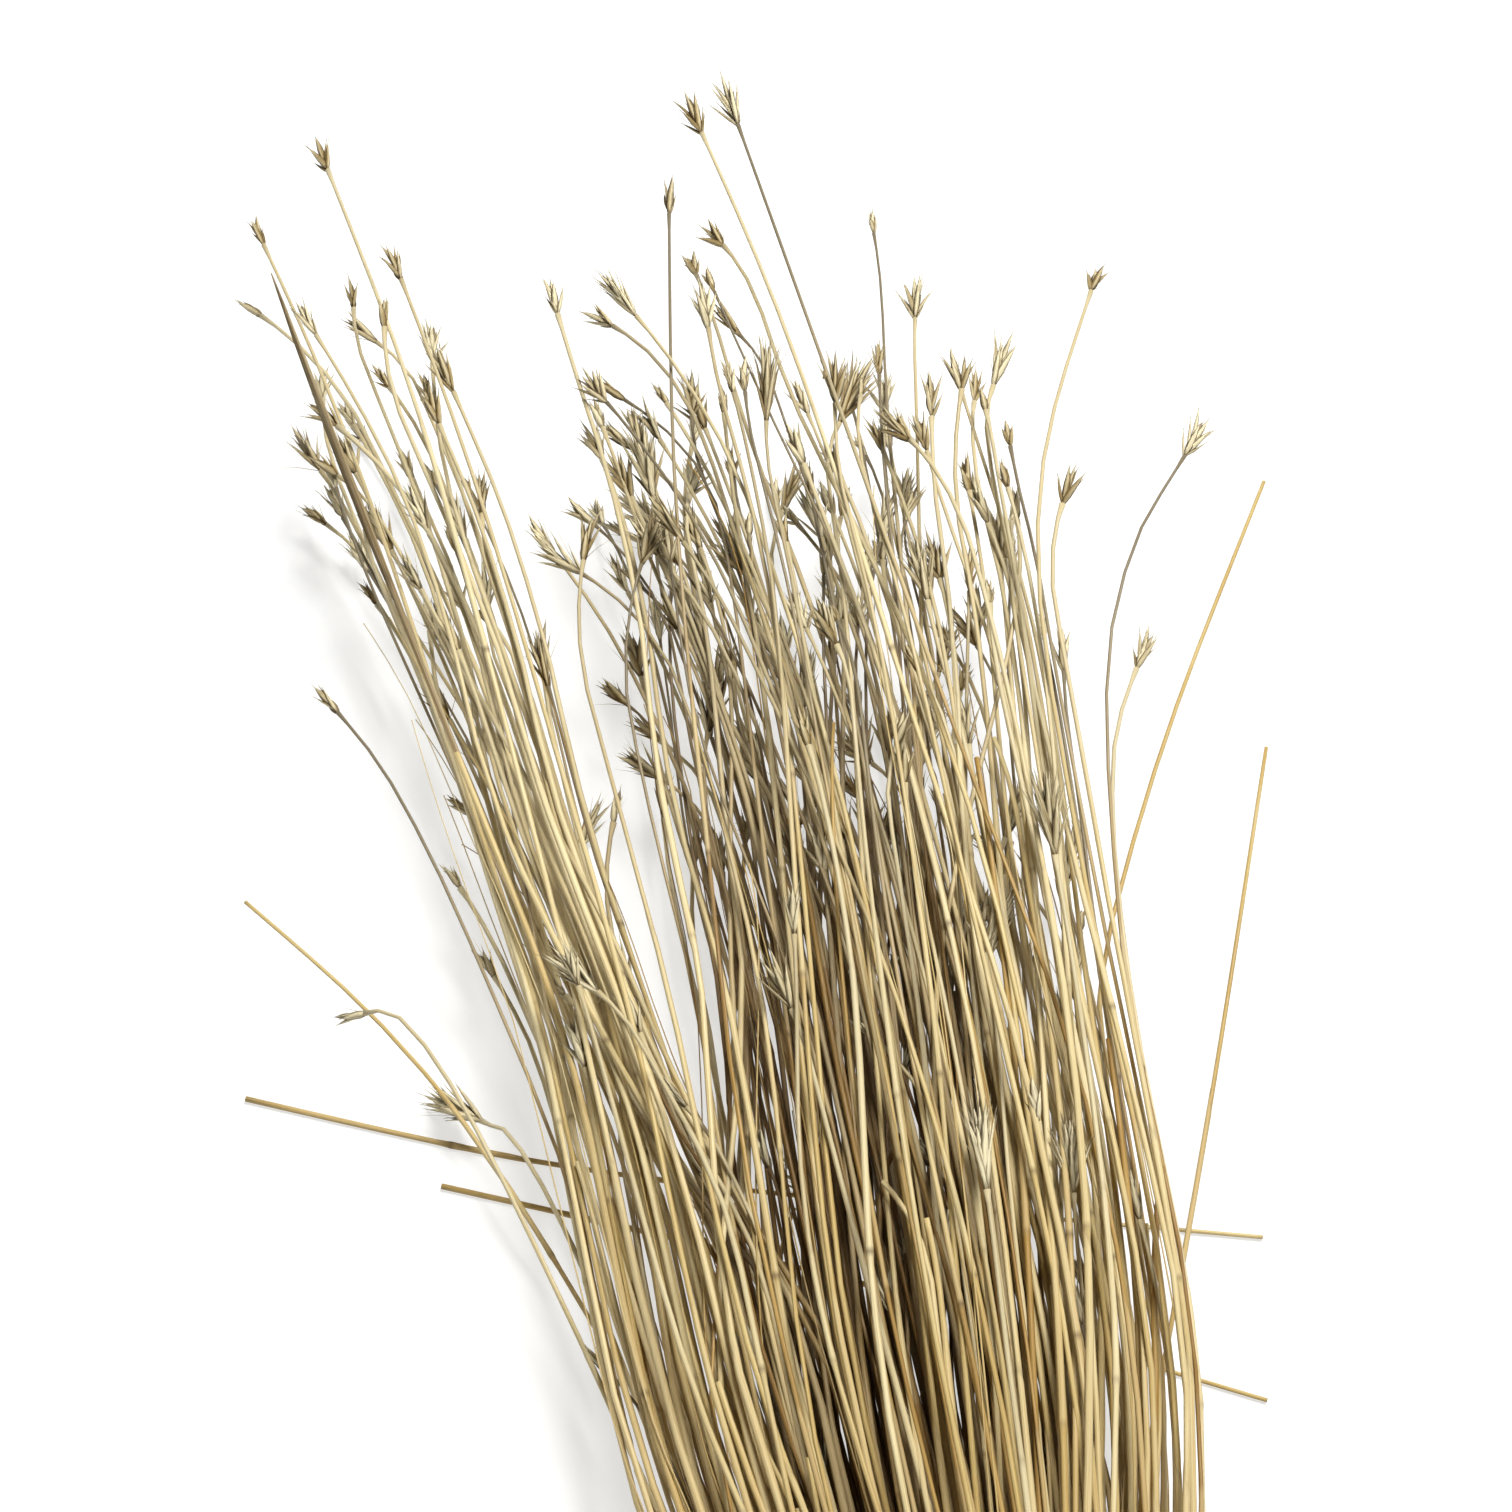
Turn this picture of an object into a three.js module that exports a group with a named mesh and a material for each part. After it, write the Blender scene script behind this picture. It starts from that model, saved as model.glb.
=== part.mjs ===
// A tied bundle of dried foxtail grass, lying on a flat surface.
// Millimetres, +Z up. +Y runs from the cut ends towards the seed heads, and the
// origin is in the middle of the footprint, on the surface that the bundle lies on.
//
// Each strand is a close-lying handful of stems, drawn as one tapering rod with a
// seed head at its tip. The single stems are the ones that stand clear of the mass.

import * as THREE from 'three';

// ---- driving dimensions -------------------------------------------------------

const CUT_END_Y = -340;          // where the stems were cut
const TIE_Y = -210;              // middle of the twine winding
const STRAND_COUNT = 34;
const STRAND_RADIUS = 2.2;       // a handful of stems, at the tie
const STRAND_NECK_RADIUS = 1.1;  // the same, just under the heads
const STRAND_HEAD_RADIUS = 2.9;
const STEM_RADIUS = 1.0;         // one stem, at the tie
const STEM_NECK_RADIUS = 0.5;
const STEM_HEAD_RADIUS = 2.7;
const HEAD_TIP_RADIUS = 0.4;
const HEAD_LENGTH = 17;
const STRAW_RADIUS = 0.85;       // a loose headless straw
const CORE_RADIUS = 17.6;        // the strands' centres at the tie lie inside this
const RIM_RADIUS = 21.3;         // the single stems' centres at the tie lie on this
const FIT_GAP = 0.4;             // air between neighbouring pieces
const TWINE_RADIUS = 1.3;
const TWINE_TURNS = 4;
const BLADE_THICKNESS = 0.7;     // a dried leaf blade
const STRAW_END_PART = 0.6;      // what is left of a loose straw's width at its far end
const BLADE_END_PART = 0.4;      // what is left of a blade's width at its tip
const CUT_RAGGEDNESS = 10;       // how unevenly the strands are cut
const TIP_Y_NEAREST = 120;       // the heads of the strands reach from here
const TIP_Y_SPAN = 128;          // over this much of the length
const TIP_Y_SLOPE = -46;         // and are further out on the -X side than on the +X side
const PARTING_U = -0.42;         // the place of the parting, as a share of the half width
const KNOT_HALF_SIZES = [6.5, 4.4, 2.6];

// How finely the surfaces are divided.
const TUBE_SIDES = 6;
const HEAD_STEPS = 3;
const FREE_STEPS = 5;
const TWINE_CORNER_STEPS = 4;
const WINDING_SEGMENTS = 28;
const KNOT_SEGMENTS = [12, 8];

const GOLDEN_ANGLE = Math.PI * (3 - Math.sqrt(5));
const GOLDEN_FRACTION = (Math.sqrt(5) - 1) / 2;

const TIE_INNER_RADIUS = RIM_RADIUS + STEM_RADIUS + FIT_GAP;
const TIE_OUTER_RADIUS = TIE_INNER_RADIUS + 2 * TWINE_RADIUS;

// Stations along the bundle: y, the half width and half height of the cloud of
// strand centres, how far its middle drifts sideways, the air under it, and the
// half width of the parting as a share of the cloud's half width (none if left out).
const TIE_HALF_LENGTH = TWINE_RADIUS * TWINE_TURNS + FIT_GAP;
const TIE_LIFT = TIE_OUTER_RADIUS - CORE_RADIUS - STRAND_RADIUS;
const STATIONS = [
  { y: CUT_END_Y, halfWidth: 22, halfHeight: 19, drift: 0, lift: 0 },
  { y: TIE_Y - TIE_HALF_LENGTH, halfWidth: CORE_RADIUS, halfHeight: CORE_RADIUS, drift: 0,
    lift: TIE_LIFT },
  { y: TIE_Y + TIE_HALF_LENGTH, halfWidth: CORE_RADIUS, halfHeight: CORE_RADIUS, drift: 0,
    lift: TIE_LIFT },
  { y: -120, halfWidth: 35, halfHeight: 20, drift: 0, lift: 4 },
  { y: -35, halfWidth: 56, halfHeight: 23, drift: 1, lift: 3.4, parting: 0.01 },
  { y: 60, halfWidth: 63, halfHeight: 26, drift: 1, lift: 3.2, parting: 0.09 },
  { y: 150, halfWidth: 78, halfHeight: 28, drift: -3, lift: 2, parting: 0.14 },
  { y: 240, halfWidth: 92, halfHeight: 29, drift: -13, lift: 0.9, parting: 0.16 },
  { y: 330, halfWidth: 100, halfHeight: 29, drift: -20, lift: 0.6, parting: 0.16 },
];

// ---- shape helpers ------------------------------------------------------------

// The station values at any y, straight-line between neighbouring stations.
function sectionAt(y) {
  const last = STATIONS.length - 2;
  let i = 0;
  while (i < last && y > STATIONS[i + 1].y) i += 1;
  const a = STATIONS[i];
  const b = STATIONS[i + 1];
  const f = (y - a.y) / (b.y - a.y);
  const mix = (key) => (a[key] ?? 0) * (1 - f) + (b[key] ?? 0) * f;
  const halfHeight = mix('halfHeight');
  return {
    halfWidth: mix('halfWidth'),
    halfHeight,
    middleX: mix('drift'),
    middleZ: halfHeight + STRAND_RADIUS + mix('lift'),
    parting: mix('parting'),
  };
}

// The mass parts into two sides: each side of the disc is squeezed evenly, away
// from the parting, and its outer edge stays in place.
function parted(u, halfParting) {
  const side = u < PARTING_U ? -1 : 1;
  const whole = 1 - side * PARTING_U;
  const away = Math.abs(u - PARTING_U);
  return PARTING_U + side * (halfParting + (away * (whole - halfParting)) / whole);
}

// A strand keeps the same place (u, v) in the unit disc all along the bundle, so
// strands spread without ever crossing.
function strandPoint(u, v, y) {
  const s = sectionAt(y);
  const x = s.middleX + parted(u, s.parting) * s.halfWidth;
  return new THREE.Vector3(x, y, s.middleZ + v * s.halfHeight);
}

// The rim runs round the strands, at the same distance from them all along.
function rimPoint(degrees, y) {
  const angle = THREE.MathUtils.degToRad(degrees);
  const s = sectionAt(y);
  const out = RIM_RADIUS - CORE_RADIUS;
  const x = s.middleX + (s.halfWidth + out) * Math.cos(angle);
  return new THREE.Vector3(x, y, s.middleZ + (s.halfHeight + out) * Math.sin(angle));
}

function smoothPath(points) {
  return new THREE.CatmullRomCurve3(points, false, 'centripetal');
}

// A closed rod through a row of points: a capped cylinder with one ring at each
// point, square to the way the row runs there, of its own half width and height.
function rodThrough(points, halfSizes) {
  const steps = points.length - 1;
  const geometry = new THREE.CylinderGeometry(1, 1, 1, TUBE_SIDES, steps);
  const position = geometry.attributes.position;
  const up = new THREE.Vector3(0, 0, 1);
  const rings = points.map((centre, i) => {
    const before = points[Math.max(i - 1, 0)];
    const after = points[Math.min(i + 1, steps)];
    const along = new THREE.Vector3().subVectors(after, before).normalize();
    const side = new THREE.Vector3().crossVectors(along, up).normalize();
    const over = new THREE.Vector3().crossVectors(side, along);
    return { centre, side, over };
  });
  const corner = new THREE.Vector3();
  for (let i = 0; i < position.count; i += 1) {
    corner.fromBufferAttribute(position, i);
    const ring = Math.round((corner.y + 0.5) * steps);
    const [halfWidth, halfHeight] = halfSizes[ring];
    const { centre, side, over } = rings[ring];
    const x = corner.x * halfWidth;
    const z = corner.z * halfHeight;
    corner.copy(centre).addScaledVector(side, x).addScaledVector(over, z);
    position.setXYZ(i, corner.x, corner.y, corner.z);
  }
  geometry.computeVertexNormals();
  return geometry;
}

// A headless straw that narrows evenly towards its far end.
function plainRod(points, rootRadius) {
  const halfSizes = points.map((_, i) => {
    const radius = rootRadius * (1 + (STRAW_END_PART - 1) * (i / (points.length - 1)));
    return [radius, radius];
  });
  return rodThrough(points, halfSizes);
}

// A stem with its seed head: it tapers evenly to the neck, swells into the head
// like half a sine wave, and ends in a small blunt tip.
function stemWithHead(points, rootRadius, neckRadius, headRadius) {
  const tip = points[points.length - 1];
  const stem = points.slice(0, -1);
  const headWay = new THREE.Vector3().subVectors(tip, stem[stem.length - 1]);
  headWay.setLength(HEAD_LENGTH);
  const neck = new THREE.Vector3().subVectors(tip, headWay);
  stem.push(neck);
  const halfSizes = stem.map((_, i) => {
    const radius = rootRadius + (neckRadius - rootRadius) * (i / (stem.length - 1));
    return [radius, radius];
  });
  for (let i = 1; i <= HEAD_STEPS; i += 1) {
    const f = i / HEAD_STEPS;
    const radius = HEAD_TIP_RADIUS + (headRadius - HEAD_TIP_RADIUS) * Math.sin(Math.PI * f);
    stem.push(new THREE.Vector3().copy(neck).addScaledVector(headWay, f));
    halfSizes.push([radius, radius]);
  }
  return rodThrough(stem, halfSizes);
}

// ---- materials ----------------------------------------------------------------

const straw = () => new THREE.MeshStandardMaterial({
  color: 0xcdb37a, roughness: 0.6, metalness: 0,
});
const dryLeaf = () => new THREE.MeshStandardMaterial({
  color: 0x9b7c4c, roughness: 0.75, metalness: 0,
});
const twine = () => new THREE.MeshStandardMaterial({
  color: 0xa98a5a, roughness: 0.9, metalness: 0,
});

const bundle = new THREE.Group();
bundle.name = 'foxtail_grass_bundle';

function addPiece(name, geometry, material) {
  const mesh = new THREE.Mesh(geometry, material);
  mesh.name = name;
  bundle.add(mesh);
  return mesh;
}

// ---- the mass of the bundle: strands on a sunflower spiral ---------------------

function strandPoints(index) {
  const reach = Math.sqrt((index + 0.5) / STRAND_COUNT);
  const u = reach * Math.cos(index * GOLDEN_ANGLE);
  const v = reach * Math.sin(index * GOLDEN_ANGLE);
  const endY = CUT_END_Y + CUT_RAGGEDNESS * ((index * 3 * GOLDEN_FRACTION) % 1);
  const tipY = TIP_Y_NEAREST + TIP_Y_SPAN * ((index * GOLDEN_FRACTION) % 1) + TIP_Y_SLOPE * u;
  const stationYs = STATIONS.map((s) => s.y).filter((y) => y > endY && y < tipY - HEAD_LENGTH);
  return [endY, ...stationYs, tipY].map((y) => strandPoint(u, v, y));
}

for (let i = 0; i < STRAND_COUNT; i += 1) {
  const geometry = stemWithHead(
    strandPoints(i), STRAND_RADIUS, STRAND_NECK_RADIUS, STRAND_HEAD_RADIUS,
  );
  addPiece(`strand_${String(i + 1).padStart(2, '0')}`, geometry, straw());
}

// ---- single stems that stand clear of the mass ---------------------------------
// rim: the stem's place on the rim of the bundle, in degrees from +X.
// leaves: the y where it leaves the rim. via: the points beyond that, up to the tip.

const SINGLE_STEMS = [
  { name: 'tall_stem_1', rim: 58, leaves: 20, via: [[19, 215, 68], [8, 298, 64]] },
  { name: 'tall_stem_2', rim: 44, leaves: 20, via: [[24, 209, 74], [17, 292, 72]] },
  { name: 'tall_stem_3', rim: 116, leaves: 20, via: [[-16, 169, 66], [-1, 275, 62]] },
  { name: 'left_stem_1', rim: 148, leaves: 60, via: [[-71, 212, 60], [-88, 313, 52]] },
  { name: 'left_stem_2', rim: 166, leaves: 60, via: [[-91, 227, 46], [-108, 300, 42]] },
  { name: 'left_stem_3', rim: 134, leaves: 60, via: [[-61, 193, 64], [-73, 264, 64]] },
  { name: 'left_stem_4', rim: 180, leaves: 30, via: [[-89, 126, 36], [-106, 159, 36]] },
  { name: 'right_stem_1', rim: 30, leaves: 60, via: [[65, 153, 68], [101, 232, 60]] },
  { name: 'right_stem_2', rim: 14, leaves: 60, via: [[81, 137, 54], [116, 184, 52]] },
  { name: 'right_stem_3', rim: 356, leaves: 50, via: [[75, 105, 36], [93, 138, 36]] },
  { name: 'arched_stem', rim: 194, leaves: -60,
    via: [[-85, 53, 30], [-96, 73, 30], [-109, 79, 18]] },
  { name: 'drooping_stem', rim: 208, leaves: -90, via: [[-73, 41, 22], [-85, 56, 5]] },
];

// Headless straws that lean far out of the mass.
const LEANING_STRAWS = [
  { name: 'leaning_straw_1', rim: 338, leaves: 60, via: [[92, 115, 20], [138, 188, 18]] },
  { name: 'leaning_straw_2', rim: 322, leaves: -60, via: [[83, 29, 10], [120, 116, 10]] },
  { name: 'leaning_straw_3', rim: 222, leaves: -60, via: [[-91, 64, 14], [-129, 117, 10]] },
];

// The stem follows the rim from its cut end and under the twine, then bends out.
function singlePoints({ rim, leaves, via }) {
  const stationYs = STATIONS.slice(1).map((s) => s.y).filter((y) => y < leaves);
  const held = [CUT_END_Y + FIT_GAP, ...stationYs].map((y) => rimPoint(rim, y));
  const corners = via.map(([x, y, z]) => new THREE.Vector3(x, y, z));
  const free = smoothPath([rimPoint(rim, leaves), ...corners]).getPoints(FREE_STEPS);
  return [...held, ...free];
}

for (const stem of SINGLE_STEMS) {
  const geometry = stemWithHead(
    singlePoints(stem), STEM_RADIUS, STEM_NECK_RADIUS, STEM_HEAD_RADIUS,
  );
  addPiece(stem.name, geometry, straw());
}

for (const stem of LEANING_STRAWS) {
  addPiece(stem.name, plainRod(singlePoints(stem), STEM_RADIUS), straw());
}

// ---- loose straws lying crosswise under the bundle ------------------------------

const CROSS_STRAWS = [
  { name: 'cross_straw_1', ends: [[-134, 71], [-62, 41], [88, -2]] },
  { name: 'cross_straw_2', ends: [[-92, 42], [0, 2], [79, -38]] },
];

for (const { name, ends } of CROSS_STRAWS) {
  const path = smoothPath(ends.map(([x, y]) => new THREE.Vector3(x, y, STRAW_RADIUS)));
  addPiece(name, plainRod(path.getPoints(FREE_STEPS), STRAW_RADIUS), straw());
}

// ---- stems that end in a dried leaf blade -----------------------------------------
// The stem stays round up to where it leaves the rim, and is a flat blade beyond it.

const LEAF_BLADES = [
  { name: 'leaf_blade_1', rim: 156, leaves: 60, halfWidth: 1.5,
    via: [[-90, 199, 62], [-102, 257, 68]] },
  { name: 'leaf_blade_2', rim: 80, leaves: 60, halfWidth: 1.3,
    via: [[24, 146, 72], [24, 198, 76]] },
];

function leafBlade({ rim, leaves, via, halfWidth }) {
  const points = singlePoints({ rim, leaves, via });
  const bladeStart = points.length - FREE_STEPS;
  const halfSizes = points.map((_, i) => {
    if (i < bladeStart) return [STEM_RADIUS, STEM_RADIUS];
    const narrowing = (i - bladeStart) / FREE_STEPS;
    return [halfWidth * (1 + (BLADE_END_PART - 1) * narrowing), BLADE_THICKNESS / 2];
  });
  return rodThrough(points, halfSizes);
}

for (const blade of LEAF_BLADES) {
  addPiece(blade.name, leafBlade(blade), dryLeaf());
}

// ---- the tie --------------------------------------------------------------------

// Twine wound side by side: a flat ring with rounded ends, turned about the
// bundle's axis. Its profile closes on itself.
function windingGeometry() {
  const endCentre = TWINE_RADIUS * (TWINE_TURNS - 1);
  const profile = [];
  for (const side of [1, -1]) {
    for (let i = 0; i <= TWINE_CORNER_STEPS; i += 1) {
      const angle = (Math.PI * i) / TWINE_CORNER_STEPS;
      const out = TIE_INNER_RADIUS + TWINE_RADIUS * (1 + side * Math.cos(angle));
      profile.push(new THREE.Vector2(out, side * (endCentre + TWINE_RADIUS * Math.sin(angle))));
    }
  }
  profile.push(profile[0].clone());
  return new THREE.LatheGeometry(profile, WINDING_SEGMENTS);
}

const winding = addPiece('twine_winding', windingGeometry(), twine());
winding.position.set(0, TIE_Y, TIE_OUTER_RADIUS);

// The flat knot that closes the winding, lying on top of it.
const knotShape = new THREE.SphereGeometry(1, ...KNOT_SEGMENTS);
knotShape.scale(...KNOT_HALF_SIZES);
const knot = addPiece('twine_knot', knotShape, twine());
knot.position.set(0, TIE_Y, 2 * TIE_OUTER_RADIUS + KNOT_HALF_SIZES[2] + FIT_GAP);

// ---- the origin goes to the middle of the footprint -------------------------------

const outline = new THREE.Box3().setFromObject(bundle);
const middle = outline.getCenter(new THREE.Vector3());
bundle.position.set(-middle.x, -middle.y, -outline.min.z);

export default bundle;
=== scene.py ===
"""A tied bundle of dried foxtail grass, lying on a plain floor.

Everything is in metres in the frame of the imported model: +Y from the cut ends to the seed heads, +Z up.
Each packed rod gives the line that a handful of stems follows. The stems, seed heads, leaf blades and
twine are surfaces lofted along such lines, worked out as whole arrays.
"""

import math

import bpy
import numpy as np
from bpy.props import FloatProperty, FloatVectorProperty, IntProperty, PointerProperty
from bpy.types import Operator, Panel, PropertyGroup
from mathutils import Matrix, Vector


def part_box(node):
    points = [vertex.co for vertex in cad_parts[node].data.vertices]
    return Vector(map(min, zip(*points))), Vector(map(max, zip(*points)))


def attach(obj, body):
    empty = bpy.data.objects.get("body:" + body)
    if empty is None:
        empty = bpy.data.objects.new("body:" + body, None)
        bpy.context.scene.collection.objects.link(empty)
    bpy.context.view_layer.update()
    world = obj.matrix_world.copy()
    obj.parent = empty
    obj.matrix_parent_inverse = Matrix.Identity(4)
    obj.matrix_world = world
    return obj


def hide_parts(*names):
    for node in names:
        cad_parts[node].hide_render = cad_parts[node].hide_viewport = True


bl_info = {
    "name": "Foxtail grass bundle",
    "version": (1, 0, 0),
    "blender": (4, 5, 0),
    "location": "3D View > Sidebar > Foxtail",
    "description": "Builds the stems, seed heads, leaf blades and twine of a dried grass bundle",
    "category": "Object",
}

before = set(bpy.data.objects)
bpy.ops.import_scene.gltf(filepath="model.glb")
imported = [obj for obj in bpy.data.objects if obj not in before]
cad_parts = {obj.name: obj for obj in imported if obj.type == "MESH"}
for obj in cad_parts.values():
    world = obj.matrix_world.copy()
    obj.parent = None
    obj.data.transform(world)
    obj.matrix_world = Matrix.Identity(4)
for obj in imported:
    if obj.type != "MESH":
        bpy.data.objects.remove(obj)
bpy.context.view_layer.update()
NODES = sorted(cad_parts)
STRANDS = [name for name in NODES if name.startswith("strand_")]
SINGLE_STEMS = [name for name in NODES if "_stem" in name]
LEANING_STRAWS = [name for name in NODES if name.startswith("leaning_straw")]
CROSS_STRAWS = [name for name in NODES if name.startswith("cross_straw")]
LEAF_BLADES = [name for name in NODES if name.startswith("leaf_blade")]

MM = 0.001
UP = np.array([0.0, 0.0, 1.0])
GOLDEN_TURN = math.pi * (3 - math.sqrt(5))
ROD_CORNERS = 6         # corners of one ring of a packed rod
BEYOND_TIP = 100 * MM   # how far a strand's line runs on beyond its packed tip
FLOOR_GAP = 0.05 * MM   # no point comes closer to the floor


# ---- sizes and colours ---------------------------------------------------------


def length_setting(name, description, metres):
    """A length that can be set."""
    return FloatProperty(name=name, description=description, default=metres, unit="LENGTH")


def share_setting(name, description, share):
    """A share or plain factor that can be set."""
    return FloatProperty(name=name, description=description, default=share, subtype="FACTOR")


def angle_setting(name, description, degrees):
    """An angle that can be set, given here in degrees."""
    radians = math.radians(degrees)
    return FloatProperty(name=name, description=description, default=radians, subtype="ANGLE")


def colour_setting(name, description, colour):
    """A colour that can be set."""
    return FloatVectorProperty(name=name, description=description, default=colour, subtype="COLOR")


def count_setting(name, description, count, least=1):
    """A whole number that can be set."""
    return IntProperty(name=name, description=description, default=count, min=least)


class StrawSettings(PropertyGroup):
    """Sizes and colours of the stems."""

    stems_per_strand: count_setting("Stems per strand", "Headed stems that a packed strand stands for", 10)
    cut_per_strand: count_setting("Broken straws per strand", "Headless straws in each strand", 3)
    wisps_per_strand: count_setting("Wisps per strand", "Hair-thin fibres in each strand", 2)
    root_radius: length_setting("Root radius", "Radius of a stem at its cut end", 1.0 * MM)
    neck_radius: length_setting("Neck radius", "Radius just under the seed head", 0.4 * MM)
    joint_swell: share_setting("Joint swell", "How much thicker a stem is at a joint", 0.28)
    sheath_growth: share_setting("Sheath growth", "How much thicker a stem is inside its sheath", 0.16)
    pale: colour_setting("Pale straw", "The palest stems", (0.69, 0.585, 0.33))
    golden: colour_setting("Golden straw", "The most common colour", (0.53, 0.40, 0.155))
    # besides older stems and fibres, this tan carries painted shade towards the cut ends
    tan: colour_setting("Tan straw", "Older stems, and the shade between fibres", (0.37, 0.228, 0.062))
    brown: colour_setting("Brown straw", "The darkest stems", (0.205, 0.108, 0.024))
    cream: colour_setting("Cream", "The bleached upper parts of the stems", (0.64, 0.56, 0.36))
    neck: colour_setting("Neck", "Grey-brown of the thin necks", (0.16, 0.13, 0.08))
    # painted shade: this dark brown darkens the stems deep in the middle of the mass, in place of the shade
    # among them
    inside: colour_setting("Inside", "Brown of the stems in the middle of the mass", (0.12, 0.052, 0.006))
    joint: colour_setting("Joint ring", "Dark ring at a joint", (0.10, 0.055, 0.02))


class HeadSettings(PropertyGroup):
    """Sizes and colours of the seed heads."""

    length: length_setting("Length", "Usual length of a seed head", 11.8 * MM)
    glume_width: share_setting("Glume width", "Half a glume's width, in usual head lengths", 0.07)
    spread: angle_setting("Spread", "How far the outer glumes lean out", 14)
    husk: colour_setting("Husk", "Olive brown of the glumes", (0.30, 0.215, 0.085))
    # painted shade: this darkens the hollows and bases of the glumes, and also draws their real darker veins
    husk_dark_and_shade: colour_setting("Dark husk", "Hollows between the glumes", (0.085, 0.05, 0.014))
    # painted highlight on the keels; on ripe glumes and points this pale colour is their own
    husk_pale_and_highlight: colour_setting("Pale husk", "Keels and ripe glumes", (0.70, 0.62, 0.40))


class LeafSettings(PropertyGroup):
    """Sizes and colours of the dried leaf blades."""

    half_width: length_setting("Half width", "Half width of a blade where it is widest", 1.5 * MM)
    fold: share_setting("Fold", "Depth of the blade's fold as a share of its half width", 0.35)
    thickness: length_setting("Thickness", "Thickness of the dried blade", 0.3 * MM)
    brown: colour_setting("Leaf brown", "The dried blade", (0.21, 0.14, 0.06))
    vein: colour_setting("Vein", "The paler veins", (0.38, 0.30, 0.17))


class TwineSettings(PropertyGroup):
    """Sizes and colours of the tie."""

    turns: count_setting("Turns", "Turns of the winding", 4)
    plies: count_setting("Plies", "Plies twisted together", 3, least=2)
    lay: length_setting("Lay", "Length of one full twist of the plies", 9 * MM)
    jute: colour_setting("Jute", "The twine's fibres", (0.40, 0.27, 0.13))
    jute_pale: colour_setting("Pale jute", "Bleached flecks in the twine", (0.62, 0.47, 0.27))
    jute_dark_and_shade: colour_setting("Dark jute", "Shade between the fibres", (0.17, 0.10, 0.04))


class StageSettings(PropertyGroup):
    """Camera, lights and floor."""

    camera_elevation: angle_setting("Camera elevation", "How steeply the camera looks down", 60)
    camera_turn: angle_setting("Camera turn", "How far the camera is turned to the right", 10)
    camera_distance: length_setting("Camera distance", "From the camera to the point it looks at", 0.62)
    camera_target: FloatVectorProperty(
        name="Camera target", description="The point that the camera looks at",
        default=(-0.0073, 0.1374, 0.030), subtype="TRANSLATION", unit="LENGTH",
    )
    view_angle: angle_setting("View angle", "The camera's field of view", 32)
    key_power: FloatProperty(
        name="Key power", description="Power of the main soft light", default=23.0, unit="POWER"
    )
    fill_share: share_setting("Fill share", "Power of the fill light as a share of the main light's", 0.08)
    surround: share_setting("Surround", "Brightness of the even light from above", 0.12)
    horizon: share_setting("Horizon", "Brightness of the pale walls near the floor", 0.45)
    floor_colour: colour_setting("Floor", "The paint, which the glow makes paler", (0.42, 0.42, 0.415))
    floor_glow: share_setting("Floor glow", "White light from the floor, which softens its shadows", 0.62)


# ---- lines -----------------------------------------------------------------------


def unit(vectors):
    """Each vector divided by its own length."""
    return vectors / np.maximum(np.linalg.norm(vectors, axis=-1, keepdims=True), 1e-12)


def smoothstep(value):
    """0 below 0, 1 above 1, and 3v^2 - 2v^3 in between."""
    v = np.clip(value, 0.0, 1.0)
    return v * v * (3 - 2 * v)


def rod_rings(name):
    """The rings of six vertices of a packed rod, from its cut end to its tip.

    The rod's vertices are sorted along its long axis. The first and last ring have one more vertex, in
    the middle of their cap, which is dropped.
    """
    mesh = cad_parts[name].data
    flat = np.empty(len(mesh.vertices) * 3)
    mesh.vertices.foreach_get("co", flat)
    points = np.unique(flat.reshape(-1, 3).round(6), axis=0)
    centred = points - points.mean(axis=0)
    axis = np.linalg.svd(centred, full_matrices=False)[2][0]
    axis = axis * np.sign(axis[np.abs(axis).argmax()])
    points = points[np.argsort(centred @ axis)]
    cap = ROD_CORNERS + 1

    def rim(cap_points):
        """The points of one end, without the one in the middle of its cap."""
        from_middle = np.linalg.norm(cap_points - cap_points.mean(axis=0), axis=1)
        return cap_points[np.argsort(from_middle)[1:]]

    middle_rings = points[cap:-cap].reshape(-1, ROD_CORNERS, 3)
    return np.concatenate([[rim(points[:cap])], middle_rings, [rim(points[-cap:])]])


def centre_line(name):
    """The middle of each ring of a packed rod, from its cut end to its tip."""
    return rod_rings(name).mean(axis=1)


def extended(line):
    """The line with one more point, straight on beyond its tip."""
    return np.concatenate([line, [line[-1] + BEYOND_TIP * unit(line[-1] - line[-2])]])


def smooth_line(knots, stations, where):
    """Points on the smooth curve through the knots.

    Between two knots each coordinate is the cubic that meets both with the slope of the knots around
    them.
    """
    slopes = np.gradient(knots, stations, axis=0)
    i = np.clip(np.searchsorted(stations, where, side="right") - 1, 0, len(stations) - 2)
    gap = stations[i + 1] - stations[i]
    t = ((where - stations[i]) / gap)[..., None]
    gap = gap[..., None]
    return (
        (2 * t**3 - 3 * t**2 + 1) * knots[i]
        + (t**3 - 2 * t**2 + t) * gap * slopes[i]
        + (3 * t**2 - 2 * t**3) * knots[i + 1]
        + (t**3 - t**2) * gap * slopes[i + 1]
    )


def distance_along(line):
    """Running length of a line of points, starting at 0."""
    steps = np.linalg.norm(np.diff(line, axis=0), axis=1)
    return np.concatenate([[0.0], np.cumsum(steps)])


def frames(paths):
    """The way each path runs at every point, and the two directions square to it: sideways and over."""
    along = unit(np.gradient(paths, axis=-2))
    side = unit(np.cross(along, UP))
    return along, side, np.cross(side, along)


def even_turns(corners):
    """The angles of evenly spaced corners round a circle."""
    return math.tau * np.arange(corners) / corners


def around(reach, turn):
    """The points (reach * cos(turn), reach * sin(turn))."""
    return np.stack([reach * np.cos(turn), reach * np.sin(turn)], axis=-1)


# ---- surfaces --------------------------------------------------------------------


class Surface:
    """Points, faces and per-point values of one or more closed tubes."""

    def __init__(self, points, quads, triangles, grain, look):
        self.points, self.quads, self.triangles = points, quads, triangles
        self.grain, self.look = grain, look


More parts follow.
